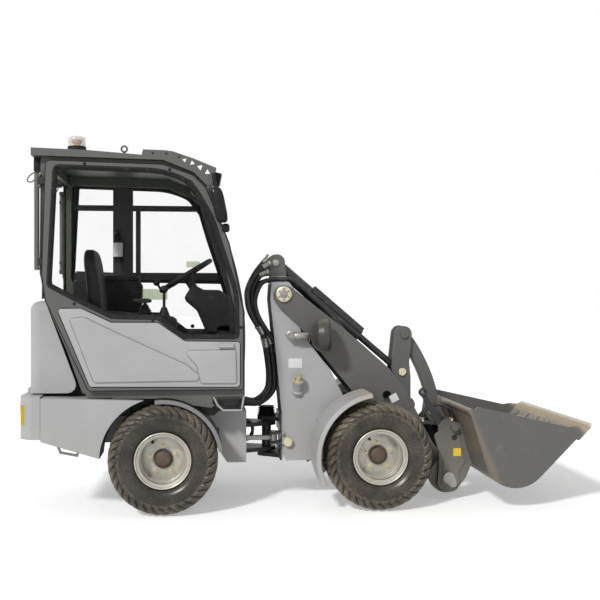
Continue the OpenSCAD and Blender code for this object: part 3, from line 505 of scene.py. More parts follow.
def rounded(rows, steps=5):
    """Outline through rows of [X, Z, radius]; each corner is an arc that touches both sides."""
    rows = np.asarray(rows, float)
    p, r = rows[:, :2], rows[:, 2:]
    u, v = unit(np.roll(p, 1, 0) - p), unit(np.roll(p, -1, 0) - p)
    half = np.arccos(np.clip(np.sum(u * v, 1, keepdims=True), -1, 1)) / 2
    centre = p + unit(u + v) * r / np.sin(half)
    start, end = p + u * r / np.tan(half) - centre, p + v * r / np.tan(half) - centre
    a0, a1 = np.arctan2(start[:, 1], start[:, 0]), np.arctan2(end[:, 1], end[:, 0])
    sweep = (a1 - a0 + 3 * math.pi) % (2 * math.pi) - math.pi
    a = a0[:, None] + sweep[:, None] * np.linspace(0, 1, steps + 1)[None]
    return (centre[:, None] + r[:, :, None] * np.stack([np.cos(a), np.sin(a)], -1)).reshape(-1, 2)


def block(x0, x1, z0, z1, radius):
    """Rows of a rectangle with round corners."""
    return [[x0, z0, radius], [x1, z0, radius], [x1, z1, radius], [x0, z1, radius]]


def cut(rows, y0, y1, rim=4, steps=3, arc=5):
    """A plate from rows of [X, Z, radius] between two Y in either order, all in millimetres."""
    y0, y1 = sorted((y0 * MM, y1 * MM))
    return slab(rounded(here(rows), arc), y0, y1, rim * MM, steps)


def strap(spine, half):
    """Outline of a band of even width along a path in XZ, with round ends."""
    ahead = unit(np.gradient(spine, axis=0))
    normal = np.stack([-ahead[:, 1], ahead[:, 0]], -1)
    a = np.linspace(0, math.pi, 13)[1:-1, None]
    last = spine[-1] + half * (np.cos(a) * normal[-1] + np.sin(a) * ahead[-1])
    first = spine[0] - half * (np.cos(a) * normal[0] + np.sin(a) * ahead[0])
    return np.concatenate([spine + half * normal, last, (spine - half * normal)[::-1], first])


def bar(first, last, radius, up):
    """A round bar between two points in millimetres."""
    return swept(np.linspace(here(first), here(last), 12), ring(12, radius), up)


def studs(centres, axis, radius, height, sides=6):
    """Bolt heads with washers: one turned profile, sized in millimetres, placed at every centre."""
    head = [[1.55, 0.0], [1.55, 0.22], [1.05, 0.25], [1.05, 0.85], [0.85, 1.0]]
    profile = np.array(head) * [radius, height]
    return joined([turned(profile, c, axis, sides) for c in centres])


def plate(centre, size, thick, radius, across=AXES["x"], up=AXES["z"]):
    """A thin sheet in millimetres: a rounded outline along across and up, raised along their normal."""
    across, up = unit(across), unit(up)
    w, h = np.array(size) * MM / 2
    o = rounded(block(-w, w, -h, h, radius * MM), 4)
    level = np.array([0.0, thick * MM])[:, None, None] * np.cross(across, up)
    return grid(here(centre) + o[None, :, :1] * across + o[None, :, 1:] * up + level)


def pillow(low, high, power=(0.4, 0.32), crown=0.0, seams=(), lean=0.0):
    """A padded form in millimetres: a squared ball between two corners, crowned on top, with sewn channels.

    A point is the centre plus the half sizes times powers of the cosine and sine of its two angles. Each seam
    is [Y, depth] and sinks the top along a narrow bell curve; lean moves X with the height.
    """
    low, high = here(low), here(high)
    centre, half = (low + high) / 2, (high - low) / 2
    a = np.linspace(-math.pi / 2 + 0.02, math.pi / 2 - 0.02, 61)[:, None]
    b = (np.arange(120) * 2 * math.pi / 120)[None]

    def part(value, e):
        return np.sign(value) * np.abs(value) ** e

    x = part(np.cos(a), power[0]) * part(np.cos(b), power[1]) * half[0]
    y = part(np.cos(a), power[0]) * part(np.sin(b), power[1]) * half[1]
    z = part(np.sin(a), power[0]) * half[2] + 0 * b
    top = np.clip(z / half[2], 0, 1)
    z = z + crown * MM * top * (1 - (x / half[0]) ** 2) * (1 - (y / half[1]) ** 2)
    for place, depth in seams:
        z = z - depth * MM * top * np.exp(-((y - place * MM) / 0.007) ** 2)
    x = x + lean * (z + half[2])
    return grid(np.stack([x, y, z], -1) + centre)


def bellows(low, high, folds=6, depth=0.018, radius=0.05):
    """A folded cover: a rounded rectangle whose size swings in and out with the height."""
    low, high = here(low), here(high)
    t = np.linspace(0, 1, folds * 8 + 1)[:, None]
    shrink = depth * (0.5 - 0.5 * np.cos(2 * math.pi * folds * t))
    w, d = (high - low)[:2] / 2
    o = rounded(block(-w, w, -d, d, radius), 6)
    scale = 1 - shrink / min(w, d)
    x, y = ((low[k] + high[k]) / 2 + o[None, :, k] * scale for k in (0, 1))
    z = np.broadcast_to(low[2] + (high[2] - low[2]) * t, x.shape)
    return grid(np.stack([x, y, z], -1))


def boot(first, last, reach, radius, taper, depth):
    """Profile of a folded round cover in millimetres: the radius swings five times over the reach."""
    t = np.linspace(0, 1, 41)
    fold = radius - taper * t + depth * np.cos(10 * math.pi * t)
    return np.concatenate([[first], np.stack([fold, reach[0] + (reach[1] - reach[0]) * t], -1), [last]])


TYRE_SECTION = [[314, 0], [313.5, 40], [312, 76], [308, 106], [300, 127], [286, 141], [266, 149.5],
                [240, 151.5], [214, 149], [194, 141], [181, 130], [173, 121], [168, 117]]
TYRE_BEADS = [[158, 112], [158, -112]]
BLOCK_SHAPE = np.array([0, 0, 0.3, 0.9, 1, 1, 1, 1, 1, 1, 1, 1, 0.95, 0.8, 0.25, 0])
WALL_RIBS = ((0.0022, 0.252, 0.003), (0.0018, 0.205, 0.0025))
WALL_FROM = 0.12
BLOCK_LEAN = 1.9


def tyre_form(centre, side, lugs, height):
    """A tyre: a section carried round the axle, its tread blocks pushed out along the section's normal.

    Columns run round the tyre and lean with the distance from the middle, so that a block's edges lie on
    them. The blocks of the two halves are half a step apart.
    """
    half = spline(np.array(TYRE_SECTION) * MM, 5)
    section = np.concatenate([half[:0:-1] * [1, -1], half, np.array(TYRE_BEADS) * MM])
    ahead = unit(np.roll(section, -1, 0) - np.roll(section, 1, 0))
    normal = np.stack([ahead[:, 1], -ahead[:, 0]], -1)
    r, w = section.T
    away = np.abs(w)

    def ease(value, low, high):
        t = np.clip((value - low) / (high - low), 0, 1)
        return t * t * (3 - 2 * t)

    reach = ease(away, 0.006, 0.012) * ease(r, 0.262, 0.284)
    rib = sum(high * np.exp(-((r - at) / wide) ** 2) for high, at, wide in WALL_RIBS) * (away > WALL_FROM)
    columns = len(BLOCK_SHAPE)
    j = np.arange(lugs * columns)
    phase = np.where(w[:, None] > 0, j, j + columns // 2) % columns
    lift = height * reach[:, None] * BLOCK_SHAPE[phase] + rib[:, None]
    half_run = np.concatenate([[0], np.cumsum(np.linalg.norm(np.diff(half, axis=0), axis=1))])
    run = np.concatenate([half_run[:0:-1], half_run, half_run[-1:], half_run[-1:]])
    lean = 2 * math.pi / lugs * BLOCK_LEAN * np.minimum(run / 0.172, 1.15) ** 2
    a = j[None] * 2 * math.pi / (lugs * columns) + lean[:, None] * side
    radius = r[:, None] + normal[:, :1] * lift
    along = w[:, None] + normal[:, 1:] * lift
    points = np.stack([radius * np.cos(a), side * along, radius * np.sin(a)], -1)
    return grid(centre + points, True, caps=False)


def even(outline, step):
    """Points at even steps along a closed outline."""
    o = np.concatenate([outline, outline[:1]])
    run = np.concatenate([[0], np.cumsum(np.linalg.norm(np.diff(o, axis=0), axis=1))])
    at = np.arange(0, run[-1] - step / 2, run[-1] / max(3, round(run[-1] / step)))
    return np.stack([np.interp(at, run, o[:, k]) for k in range(2)], -1)


def seal_loop(outline, inset, y, width, height):
    """A strip round a pane: a half-round section carried at the plane y along the outline, moved in."""
    line = even(outline - inset * outward_lines(outline), 0.02)
    path = np.stack([line[:, 0], np.full(len(line), y), line[:, 1]], -1)
    return swept(path, ring(12, 1.0) * [width / 2, height], closed=True)


FINISHES = {}
SLOTS = {
    "plastic": "black_plastic", "seal": "black_plastic", "black": "black_metal", "hub": "black_metal",
    "lamp": "black_metal", "zinc": "zinc", "yellow": "zinc", "steel": "zinc", "light": "light_paint",
    "white": "light_paint", "paper": "light_paint", "dark": "dark_paint", "line": "dark_paint",
    "vinyl": "vinyl", "beacon": "lens_amber", "amber": "lens_amber", "clear_lens": "chrome",
    "mirror": "chrome", "hose": "hose",
}


def piece(name, shape, body="chassis", look="plastic", slot=None, smooth=40.0):
    """Puts a shape, or a list of shapes, into the scene as an object at the origin that rides on a body."""
    points, faces = joined(shape) if isinstance(shape, list) else shape
    mesh = bpy.data.meshes.new(name)
    mesh.from_pydata(points.tolist(), [], faces)
    mesh.validate()
    mesh.update()
    outward(mesh)
    if smooth:
        mesh.shade_smooth()
        mesh.set_sharp_from_angle(angle=math.radians(smooth))
    mesh.materials.append(FINISHES[look])
    made = bpy.data.objects.new(name, mesh)
    bpy.context.scene.collection.objects.link(made)
    if body:
        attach(made, body)
    slot = slot or SLOTS.get(look)
    return made


def outward(mesh):
    """Turns a closed mesh so that its faces point out."""
    shell = bmesh.new()
    shell.from_mesh(mesh)
    bmesh.ops.recalc_face_normals(shell, faces=shell.faces)
    shell.to_mesh(mesh)
    shell.free()


def run_map(mesh, rows, sides, length):
    """UV map along a tube: u is the way along it in metres, v the way round it."""
    layer = mesh.uv_layers.new(name="run")
    index = np.zeros(len(mesh.loops), np.int32)
    mesh.loops.foreach_get("vertex_index", index)
    uv = np.stack([index // sides / max(rows - 1, 1) * length, index % sides / sides], -1)
    layer.data.foreach_set("uv", uv.astype(np.float32).ravel())


def tube(name, path, radius, body, sides=20):
    """A hose: a circle carried along a smooth path, with a UV map along the path's length."""
    made = piece(name, swept(path, ring(sides, radius)), body, "hose")
    length = float(np.linalg.norm(np.diff(path, axis=0), axis=1).sum())
    run_map(made.data, len(path), sides, length)
    return made


FERRULE = np.array([[1.08, 0.0], [1.25, 0.04], [1.25, 0.2], [1.16, 0.24], [1.25, 0.28], [1.25, 0.44],
                    [1.16, 0.48], [1.25, 0.52], [1.25, 0.66], [1.1, 0.7], [1.45, 0.72], [1.45, 0.97],
                    [1.3, 1.0]])


def ferrule(path, index, radius, length):
    """A crimped hose end: a turned sleeve with grooves and a nut, along the path at one of its points."""
    ahead = unit(path[min(index + 1, len(path) - 1)] - path[max(index - 1, 0)])
    return turned(FERRULE * [radius / MM, length / MM], path[index] - ahead * length / 2, ahead, 18)


# Settings


def tint(name, description, default):
    """A colour setting."""
    return FloatVectorProperty(name=name, description=description, subtype="COLOR", default=default,
                               min=0, max=1)


def width(name, description, default):
    """A setting in metres."""
    return FloatProperty(name=name, description=description, default=default, unit="LENGTH")


class LoaderPaint(bpy.types.PropertyGroup):
    """Colours of the loader's finishes."""
    light: tint("Body grey", "Colour of the hood, doors and tower", (0.43, 0.43, 0.43))
    dark: tint("Frame grey", "Colour of the cab frame, arm and bucket", (0.113, 0.111, 0.105))
    black: tint("Black", "Colour of the black steel and plastic", (0.018, 0.018, 0.018))
    rubber: tint("Tyre", "Colour of the tyre rubber", (0.026, 0.023, 0.019))
    silver: tint("Wheel silver", "Colour of the wheel discs", (0.54, 0.52, 0.455))
    zinc: tint("Zinc", "Colour of the plated pins", (0.66, 0.6, 0.42))
    dust: tint("Dust", "Colour of dry earth on the machine", (0.4, 0.35, 0.28))
    glass: tint("Glass", "Tint of the panes", (0.02, 0.032, 0.026))


class LoaderSizes(bpy.types.PropertyGroup):
    """Sizes of the pieces that the solids leave to the looks."""
    lug_count: IntProperty(name="Blocks", description="Tread blocks in a row round a tyre", default=34,
                           min=18, max=40)
    lug_height: width("Block height", "Height of the tread blocks", 0.015)
    hose_radius: width("Hose radius", "Radius of the hoses on the tower", 0.019)
    side_hose_radius: width("Side hose radius", "Radius of the thin hoses on the tower", 0.013)
    arm_hose_radius: width("Arm hose radius", "Radius of the hoses to the arm", 0.015)
    hitch_hose_radius: width("Hitch hose radius", "Radius of the hoses on the hitch", 0.0085)
    seal: width("Seal", "Width of the rubber seal round a pane", 0.022)
    camera_lens: FloatProperty(name="Lens", description="Focal length of the camera", default=56.88,
                               unit="CAMERA")
    sun: FloatProperty(name="Key light", description="Strength of the key light", default=2.3, min=0)
    sky: FloatProperty(name="Sky", description="Strength of the light from all round", default=0.32, min=0)


def sizes():
    return bpy.context.scene.loader_sizes


# Finishes

OLIVE = (0.052, 0.062, 0.042)
# Painted shade: near black on the inner faces of the rear wheel arches and on the doors' inner side.
SHADE = (0.012, 0.011, 0.01)
SPLASH = (0.46, 0.38, 0.28)
LAMP_SHELL = (0.05, 0.046, 0.039)
LAMP_BRACKET = (0.3, 0.3, 0.29)
REAR_SOIL = ((0.26, 0.22, 0.165), 0.24)
FRONT_SOIL = ((0.29, 0.24, 0.17), 0.28)
TYRE_RADIUS = 0.33
ARCH_RADIUS = 0.372
# Corners of the frame's and the tower's plates beside the articulation joint, which get painted shade.
FRAME_SHADE_CORNER = (REAR_X + 0.512, 0.6)
TOWER_SHADE_CORNER = (REAR_X + 0.742, 0.56)
TOWER_TOP_Z = 1.44
SPLASH_X = FRONT_X - 0.17
CAB_LINING_Y = 0.4875
# Y inside which the doors get painted shade.
DOOR_SHADE_Y = 0.5245
DOOR_COVER_Y = 0.5268
GUARD_RIM_Y = 0.5385
LAMP_BRACKET_Y = 0.23
HITCH_CHEEKS = (0.1, 0.2855)
BUCKET_LIP_Z = 0.527
BUCKET_FOLD = (REAR_X + 1.92, 0.418)
NODE_FINISH = {
    "light": ("counterweight", "engine_hood", "door_right_panel", "door_left_panel"),
    "fender": ("front_fenders",),
    "guard": ("rear_mudguards",),
    "boxes": ("rear_boxes",),
    "frame": ("rear_frame",),
    "tower": ("front_frame",),
    "cab": ("cab_frame",),
    "roof": ("cab_roof",),
    "door": ("door_right", "door_left"),
    "lamp": ("headlamps",),
    "dark": ("boom", "lever", "link", "hitch_spacers", "lever_pin", "link_pin"),
    "hitch": ("quick_hitch",),
    "bucket": ("bucket",),
    # pivot_pin is black as painted shade in the articulation joint.
    "black": ("rear_axle", "front_axle", "engine_block", "steps", "lift_barrel", "tilt_barrel",
              "steer_barrel", "tilt_rod", "pivot_pin"),
    "plastic": ("steering_console", "side_console", "steering_wheel", "work_lamps", "wiper", "seat",
                "mirrors"),
    "glass": ("windshield", "rear_window", "door_right_glass", "door_left_glass"),
    "zinc": ("tower_pins",),
    "steel": ("hitch_pin", "steer_rod"),
    "chrome": ("lift_rod",),
    "beacon": ("beacon",),
    "red_lens": ("rear_lamps",),
    "hose": ("tower_hoses", "arm_hoses", "hitch_hoses"),
}


class LOADER_OT_finishes(bpy.types.Operator):
    """Makes the finishes and puts one on every solid"""
    bl_idname = "loader.finishes"
    bl_label = "Finishes"

    def execute(self, context):
        paint = context.scene.loader_paint
        self.paints(*(tuple(c) for c in (paint.light, paint.dark, paint.black, paint.dust)))
        self.small_parts(tuple(paint.light), tuple(paint.black), tuple(paint.dust), tuple(paint.zinc))
        FINISHES["glass"] = pane("tinted_glass", tuple(paint.glass), 0.015)
        grime = shade(paint.dust, 0.6)
        for wheel in WHEELS:
            centre = middle("rim_" + wheel)
            soil = FRONT_SOIL if wheel.startswith("front") else REAR_SOIL
            tyre, rim = "tyre_" + wheel, "rim_" + wheel
            FINISHES[tyre] = rubber(tyre, tuple(paint.rubber), *soil, centre, TYRE_RADIUS)
            FINISHES[rim] = rim_paint("wheel_silver_" + wheel, tuple(paint.silver), grime, centre)
            self.dress(tyre, tyre)
            self.dress(rim, rim)
        for key, nodes in NODE_FINISH.items():
            for node in nodes:
                self.dress(node, key)
        bare = [name for name, node in NODES.items() if not node.get("dressed")]
        if bare:
            raise RuntimeError(f"no finish for {bare}")
        return {"FINISHED"}

    def dress(self, node, key):
        NODES[node].data.materials.clear()
        NODES[node].data.materials.append(FINISHES[key])
        NODES[node]["dressed"] = True

    def paints(self, light, dark, black, dust):
        def pale(name, *over):
            return painted(name, light, dust, over=over)

        def grey(name, *over):
            return painted(name, dark, dust, 0.4, 0.45, 0.46, over)

        bucket_lip = (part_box("bucket")[1][0], BUCKET_LIP_Z)
        # joint_shade is painted shade for the articulation joint; dim_black is a lighter black, for the guard
        # and for painted shade in the hitch.
        joint_shade, dim_black = shade(black, 2.0), shade(black, 1.6)
        FINISHES.update(
            light=pale("body_grey"),
            # tank_grey: painted shade, near black, on the inner face of the rear wheel arches.
            boxes=pale("tank_grey", (arch(REAR_X, TYRE_RADIUS, ARCH_RADIUS), SHADE)),
            # Painted shade, near black, on the frame's and the tower's plates at the articulation joint.
            frame=pale("frame_light", (corner(*FRAME_SHADE_CORNER, -1.0), joint_shade)),
            tower=pale("tower_grey", (corner(*TOWER_SHADE_CORNER, 1.0), joint_shade), (above(TOWER_TOP_Z), dark)),
            fender=painted("fender_grey", light, dust, 0.35, 0.95, over=[(splashed(SPLASH_X), SPLASH)]),
            dark=grey("frame_grey"),
            cab=grey("cab_grey", (inner(CAB_LINING_Y), OLIVE)),
            roof=grey("roof_grey", (underside, OLIVE)),
            # door_grey: painted shade, near black, on the doors' inner side.
            door=grey("door_grey", (inner(DOOR_SHADE_Y), SHADE), (outer(DOOR_COVER_Y), light)),
            # hitch_grey: painted shade on the parts between the cheeks, which are partly black steel too.
            hitch=painted("hitch_grey", dark, dust, 0.5, 0.6, 0.46, [(between(*HITCH_CHEEKS), dim_black)]),
            guard=painted("guard_black", dim_black, dust, 0.25, 0.4, 0.5,
                          [(outer(GUARD_RIM_Y), shade(light, 0.55))]),
            lamp=painted("lamp_shell", LAMP_SHELL, dust, 0.1, 0.6, 0.4,
                         [(inner(LAMP_BRACKET_Y), LAMP_BRACKET)]),
            bucket=bucket_steel("bucket_paint", dark, dust, bucket_lip, BUCKET_FOLD),
        )

    def small_parts(self, light, black, dust, zinc):
        FINISHES.update(
            # A darker grey for the strips round the door fields: painted shade along their pressed edges.
            line=plain("door_field_shade", shade(light, 0.55), 0.6, dirt=0.1),
            # Paper sheets: painted light, they glow though they are no lamp.
            paper=plain("paper_sheet", (0.74, 0.88, 0.62), 0.6, dirt=0.05, glow=0.45),
            steel=plain("bare_steel", (0.34, 0.33, 0.31), 0.36, 0.6, dirt=0.45),
            black=plain("black_steel", black, 0.42, dust=dust, dirt=0.25),
            plastic=plain("black_plastic", shade(black, 0.55), 0.62, grain=500.0, bump=0.3, dust=dust,
                          dirt=0.08, shine=0.22),
            zinc=plain("zinc_plate", zinc, 0.34, 0.7, dust=(0.2, 0.16, 0.11), dirt=0.4),
            chrome=plain("chrome_rod", (0.8, 0.8, 0.8), 0.12, 1.0, bump=0.03, dirt=0.08),
            amber=plain("amber_core", (0.62, 0.3, 0.1), 0.3, dirt=0.05),
            seal=plain("seal_rubber", shade(black, 0.6), 0.6, dirt=0.15, shine=0.25),
            hub=plain("hub_steel", (0.1, 0.07, 0.052), 0.6, 0.3, dirt=0.4),
            yellow=plain("yellow_plate", (0.9, 0.66, 0.03), 0.4, dirt=0.08),
            white=plain("white_plate", (0.75, 0.75, 0.75), 0.4, dirt=0.12),
            mirror=plain("mirror_glass", (0.75, 0.78, 0.8), 0.05, 1.0, bump=0.01, dirt=0.04),
            beacon=lens("beacon_lens", (0.8, 0.76, 0.7), 0.45),
            red_lens=lens("red_lens", (0.42, 0.02, 0.015), 1.0),
            clear_lens=lens("clear_lens", (0.75, 0.76, 0.76), 0.9),
            hose=hose_rubber("hose_cover", shade(black, 0.75)),
            vinyl=vinyl("seat_vinyl", (0.012, 0.013, 0.012)),
        )


# Pieces; rows of runs, outlines and profiles are in millimetres

TOWER_RUN = [[455, 612], [519, 613], [609, 618], [689, 690], [703, 790], [685, 950], [661, 1055], [587, 1186],
             [563, 1272], [563, 1360], [605, 1440], [641, 1462]]
SIDE_RUNS = ((-88, -30, 8), (-44, -36, 30), (0, -33, 34), (44, -36, 30), (88, -30, 8))
SIDE_EASE = (0, 0.3, 0.7, 1, 1, 1, 1, 1, 1, 0.9, 0.4, -0.8)
ARM_RUN = [[714, 1012], [690, 1030], [640, 1100], [588, 1196], [575, 1290], [615, 1390], [685, 1415.4],
           [745, 1416.6], [805, 1416.6], [881, 1362], [968, 1280], [1080, 1172], [1158, 1074]]
HITCH_RUN = [[1649, 503.2], [1649, 532], [1668, 572], [1746, 605], [1822, 580], [1841, 534], [1840, 494.6]]
BULKHEAD = [[-242, 572, 4], [242, 572, 4], [242, 588, 4], [100, 648, 20], [-100, 648, 20], [-242, 588, 4]]


class LOADER_OT_hoses(bpy.types.Operator):
    """Hoses up the tower, over the arm's pivot and on the hitch"""
    bl_idname = "loader.hoses"
    bl_label = "Hoses"

    def execute(self, context):
        self.tower(sizes().hose_radius)
        self.bundle(sizes().side_hose_radius)
        points, faces = slab(rounded(np.array(BULKHEAD) * MM), 0.0, 0.008, 0.002)
        piece("hose_bulkhead", (points[:, [1, 0, 2]] + here([451, 0, 0]), faces), look="black")
        self.arm(sizes().arm_hose_radius)
        self.hitch(sizes().hitch_hose_radius)
        return {"FINISHED"}

    def route(self, rows, y):
        return spline(here([[x, y, z] for x, z in rows]))

    def rising(self, name, path, radius):
        """A hose from the chassis to the tower, on no body, with its place baked into its points."""
        made = tube(name, path, radius, None)
        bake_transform(made)
        return made

    def tower(self, radius):
        paths = [self.route(TOWER_RUN, y) for y in (-66, -22, 22, 66)]
        made = [self.rising(f"tower_hose_{i + 1}", path, radius) for i, path in enumerate(paths)]
        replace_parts(made[0], "tower_hoses")
        sleeves = [ferrule(path, k, radius, 0.07) for path in paths for k in (46, 86)]
        piece("tower_hose_ends", sleeves, "front_unit", "steel", "chrome")
        piece("frame_hose_ends", [ferrule(path, 1, radius, 0.05) for path in paths], look="zinc")

    def bundle(self, radius):
        """Thinner hoses beside the thick ones, each shifted along X and up at its start."""
        sleeves = []
        for i, (y, shift, lift) in enumerate(SIDE_RUNS):
            moved = [[x + shift * e, z + lift * (1 - e) + 22 * max(0, k - 9)]
                     for k, ((x, z), e) in enumerate(zip(TOWER_RUN, SIDE_EASE))]
            path = self.route(moved, y)
            self.rising(f"side_hose_{i + 1}", path, radius)
            sleeves += [ferrule(path, k, radius, 0.06) for k in (44, 50, 86)]
        piece("side_hose_ends", sleeves, "front_unit", "steel", "chrome")

    def arm(self, radius):
        for i, y in enumerate((-112, 112)):
            made = tube(f"arm_hose_{i + 1}", self.route(ARM_RUN, y), radius, None)
            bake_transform(made)
            if i == 0:
                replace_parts(made, "arm_hoses")

    def hitch(self, radius):
        ends = []
        for i, y in enumerate((-246, -227, -209)):
            path = self.route(HITCH_RUN, y)
            made = tube(f"hitch_hose_{i + 1}", path, radius, "hitch_unit", 14)
            if i == 0:
                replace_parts(made, "hitch_hoses")
            ends += [ferrule(path, k, radius, 0.03) for k in (3, len(path) - 4)]
        piece("hitch_hose_ends", ends, "hitch_unit", "zinc")


class LOADER_OT_tyres(bpy.types.Operator):
    """Tyres with leaning tread blocks"""
    bl_idname = "loader.tyres"
    bl_label = "Tyres"

    def execute(self, context):
        for wheel, side in WHEELS.items():
            form = tyre_form(middle("tyre_" + wheel), side, sizes().lug_count, sizes().lug_height)
            made = piece("tyre_form_" + wheel, form, wheel + "_wheel", "tyre_" + wheel, "tyre", 50.0)
            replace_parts(made, "tyre_" + wheel)
        return {"FINISHED"}


HUB = [[1, 62], [30, 61.5], [40, 59], [47, 55], [49.5, 49], [49.5, 46]]
STUD_END = [[6.5, 0], [6.5, 24], [5, 27]]
VALVE = [[9, 0], [9, 12], [5.5, 16], [5.5, 38], [6.2, 39], [6.2, 50], [4, 52]]
RIM_LIPS = ((164.5, 125.5, 5.5), (137, 92, 3.025), (136.5, 50, 3.025))
NUT_CIRCLE = 80
VALVE_CIRCLE = 122
VALVE_ANGLE = 2.1


class LOADER_OT_wheel_trim(bpy.types.Operator):
    """Hub plates, wheel nuts, rim lips and valves"""
    bl_idname = "loader.wheel_trim"
    bl_label = "Wheel trim"

    def execute(self, context):
        for wheel, side in WHEELS.items():
            self.trim(wheel, wheel + "_wheel", middle("tyre_" + wheel), np.array([0.0, side, 0.0]))
        return {"FINISHED"}

    def circle(self, centre, out, radius, along, angles):
        """Points round the axle at a radius and at a distance out from the wheel's middle."""
        flat = np.stack([np.cos(angles), 0 * angles, np.sin(angles)], -1)
        return centre + radius * MM * flat + along * MM * out

    def trim(self, wheel, body, centre, out):
        piece("hub_plate_" + wheel, turned(HUB, centre, out), body, "hub")
        spots = self.circle(centre, out, NUT_CIRCLE, 27, np.radians(20 + 72 * np.arange(5)))
        nuts = [studs(spots, out, 10.5, 16), *(turned(STUD_END, spot, out, 12) for spot in spots)]
        piece("wheel_nuts_" + wheel, nuts, body, "zinc", smooth=30.0)
        t = np.arange(96) * 2 * math.pi / 96
        lips = [swept(self.circle(centre, out, radius, along, t), ring(14, thick * MM), out, closed=True)
                for radius, along, thick in RIM_LIPS]
        piece("rim_lip_" + wheel, lips, body, "rim_" + wheel, "rim_paint")
        root = self.circle(centre, out, VALVE_CIRCLE, 60, np.array([VALVE_ANGLE]))[0]
        piece("valve_" + wheel, turned(VALVE, root, out, 14), body, "seal")


class LOADER_OT_seat(bpy.types.Operator):
    """Padded seat on a folded suspension cover"""
    bl_idname = "loader.seat"
    bl_label = "Seat"

    def execute(self, context):
        seams = ((-130, 8), (-45, 6), (45, 6), (130, 8))
        cushion = pillow([-440, -240, 1068], [70, 240, 1178], crown=12, seams=seams)
        back = pillow([-466, -222, 1150], [-378, 222, 1606], (0.5, 0.34), lean=-0.12)
        made = [piece(name, shape, look="vinyl", smooth=60.0)
                for name, shape in (("seat_cushion", cushion), ("seat_back", back))]
        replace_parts(made[0], "seat")
        piece("seat_base", [bellows([-370, -185, 760], [-30, 185, 1062]),
                            cut(block(-400, 10, 1052, 1070, 6), -200, 200),
                            cut(block(-390, -10, 738.3, 762, 4), -200, 200)])
        return {"FINISHED"}


DOOR_COVER = [[-428, 770, 20], [459, 761, 20], [459, 1032, 16], [131, 1037, 40], [-29, 1148, 40],
              [-305, 1150, 40], [-480, 1234, 30], [-619, 1232, 16]]
DOOR_FIELDS = ([[-404, 793, 20], [208, 799, 12], [218, 832, 16], [142, 896, 40], [-38, 980, 60],
                [-258, 1083, 60], [-462, 1183, 40], [-549, 1174, 12]],
               [[226, 783, 10], [441, 781, 16], [435, 986, 14], [122, 981, 16], [202, 889, 40]])
DOOR_PANE = [[117, 1056, 30], [452, 1054, 20], [447, 1331, 500], [300, 1780, 700], [173, 2000, 230],
             [-8, 2066, 500], [-640, 2082, 30], [-676, 1368, 30], [-502, 1274, 30], [-301, 1177, 40],
             [-31, 1171, 40]]
DOOR_EDGE = [[-440, 742, 20], [482, 742, 15], [482, 1215, 60], [394, 1630, 60], [258, 1958, 30],
             [182, 2034, 50], [0, 2098, 60], [-690, 2114, 30], [-712, 1440, 20], [-690, 1280, 40]]
DOOR_BOLTS = ((-460, 2092), (40, 2064), (-60, 1160), (-520, 1262), (466, 1120))
PANE_KNOB = [[8, 0], [8, 12], [14, 14], [14, 22], [11, 26]]
DOOR_FACE = 0.526


class LOADER_OT_doors(bpy.types.Operator):
    """Pressed door panels, pane seals and glass clamps"""
    bl_idname = "loader.doors"
    bl_label = "Doors"

    def execute(self, context):
        cover, glass, edge = (rounded(here(rows), 8) for rows in (DOOR_COVER, DOOR_PANE, DOOR_EDGE))
        fields = [rounded(here(rows), 8) for rows in DOOR_FIELDS]
        seal = sizes().seal
        panel = [slab(cover, DOOR_FACE, DOOR_FACE + 0.006, 0.003)]
        panel += [slab(field, DOOR_FACE - 0.004, DOOR_FACE + 0.013, 0.0082, 6) for field in fields]
        strips = [seal_loop(glass, 0.001, DOOR_FACE - 0.004, seal, 0.006),
                  seal_loop(glass, 0.012, DOOR_FACE - 0.008, seal * 0.55, 0.004),
                  seal_loop(glass, 0.006, DOOR_FACE - 0.016, seal * 1.6, 0.007),
                  seal_loop(cover, -0.002, DOOR_FACE, 0.007, 0.0022),
                  seal_loop(edge, 0.003, DOOR_FACE, 0.006, 0.0015)]
        # Darker strips round the fields: painted shade along their pressed edges.
        lines = [seal_loop(field, -0.002, DOOR_FACE + 0.006, 0.005, 0.0016) for field in fields]
        bolts = [studs(here([[x, 525.5, z] for x, z in DOOR_BOLTS]), "y", 6, 6, 12),
                 turned(PANE_KNOB, here([167, 510, 1097]), "y", 20)]
        rows = (("panel", panel, "light", 50.0), ("seal", strips, "seal", 60.0),
                ("lines", lines, "line", 60.0), ("bolts", bolts, "plastic", 40.0))
        for side, sign in zip(("right", "left"), SIDES):
            for name, shapes, look, smooth in rows:
                points, faces = joined(shapes)
                made = piece(f"door_{name}_{side}", (points * [1.0, sign, 1.0], faces), side + "_door", look,
                             smooth=smooth)
                if name == "panel":
                    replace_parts(made, f"door_{side}_panel")
        return {"FINISHED"}


LAMP_TILT = (14.0, 0.0, 72.0)
MIRROR_TILT = (-72.0, 0.0, 210.0)
VISOR_BOLTS = ((-60, 2160), (20, 2158), (96, 2140))
SCREEN_EDGE = [[480, 0, 784], [480, 0, 1206], [392, 0, 1615], [250, 0, 1958]]
REAR_PANE_X = -712.5
REAR_PANE_Z = (1308, 2066)
BEACON_BASE = [[62, 0], [62, 14], [56, 22], [56, 44], [50, 46]]
BEACON_CUP = [[52, 46], [52, 84], [50.5, 94], [45, 102], [36, 106.5], [20, 108], [1, 108]]
BEACON_CORE = [[20, 40], [20, 60], [32, 70], [34, 84], [20, 90], [1, 91]]
MIRROR_Y = 582
MIRROR_CUP = [[16, -10], [24, 0], [24, 30], [15, 40]]
WIRE_RADIUS = 0.0035
LAMP_WIRE = [[-748, 395, 2057], [-752, 397, 2035], [-784, 402, 1996], [-812, 406, 2000], [-800, 408, 2028],
             [-772, 409, 2050], [-748, 409, 2058]]
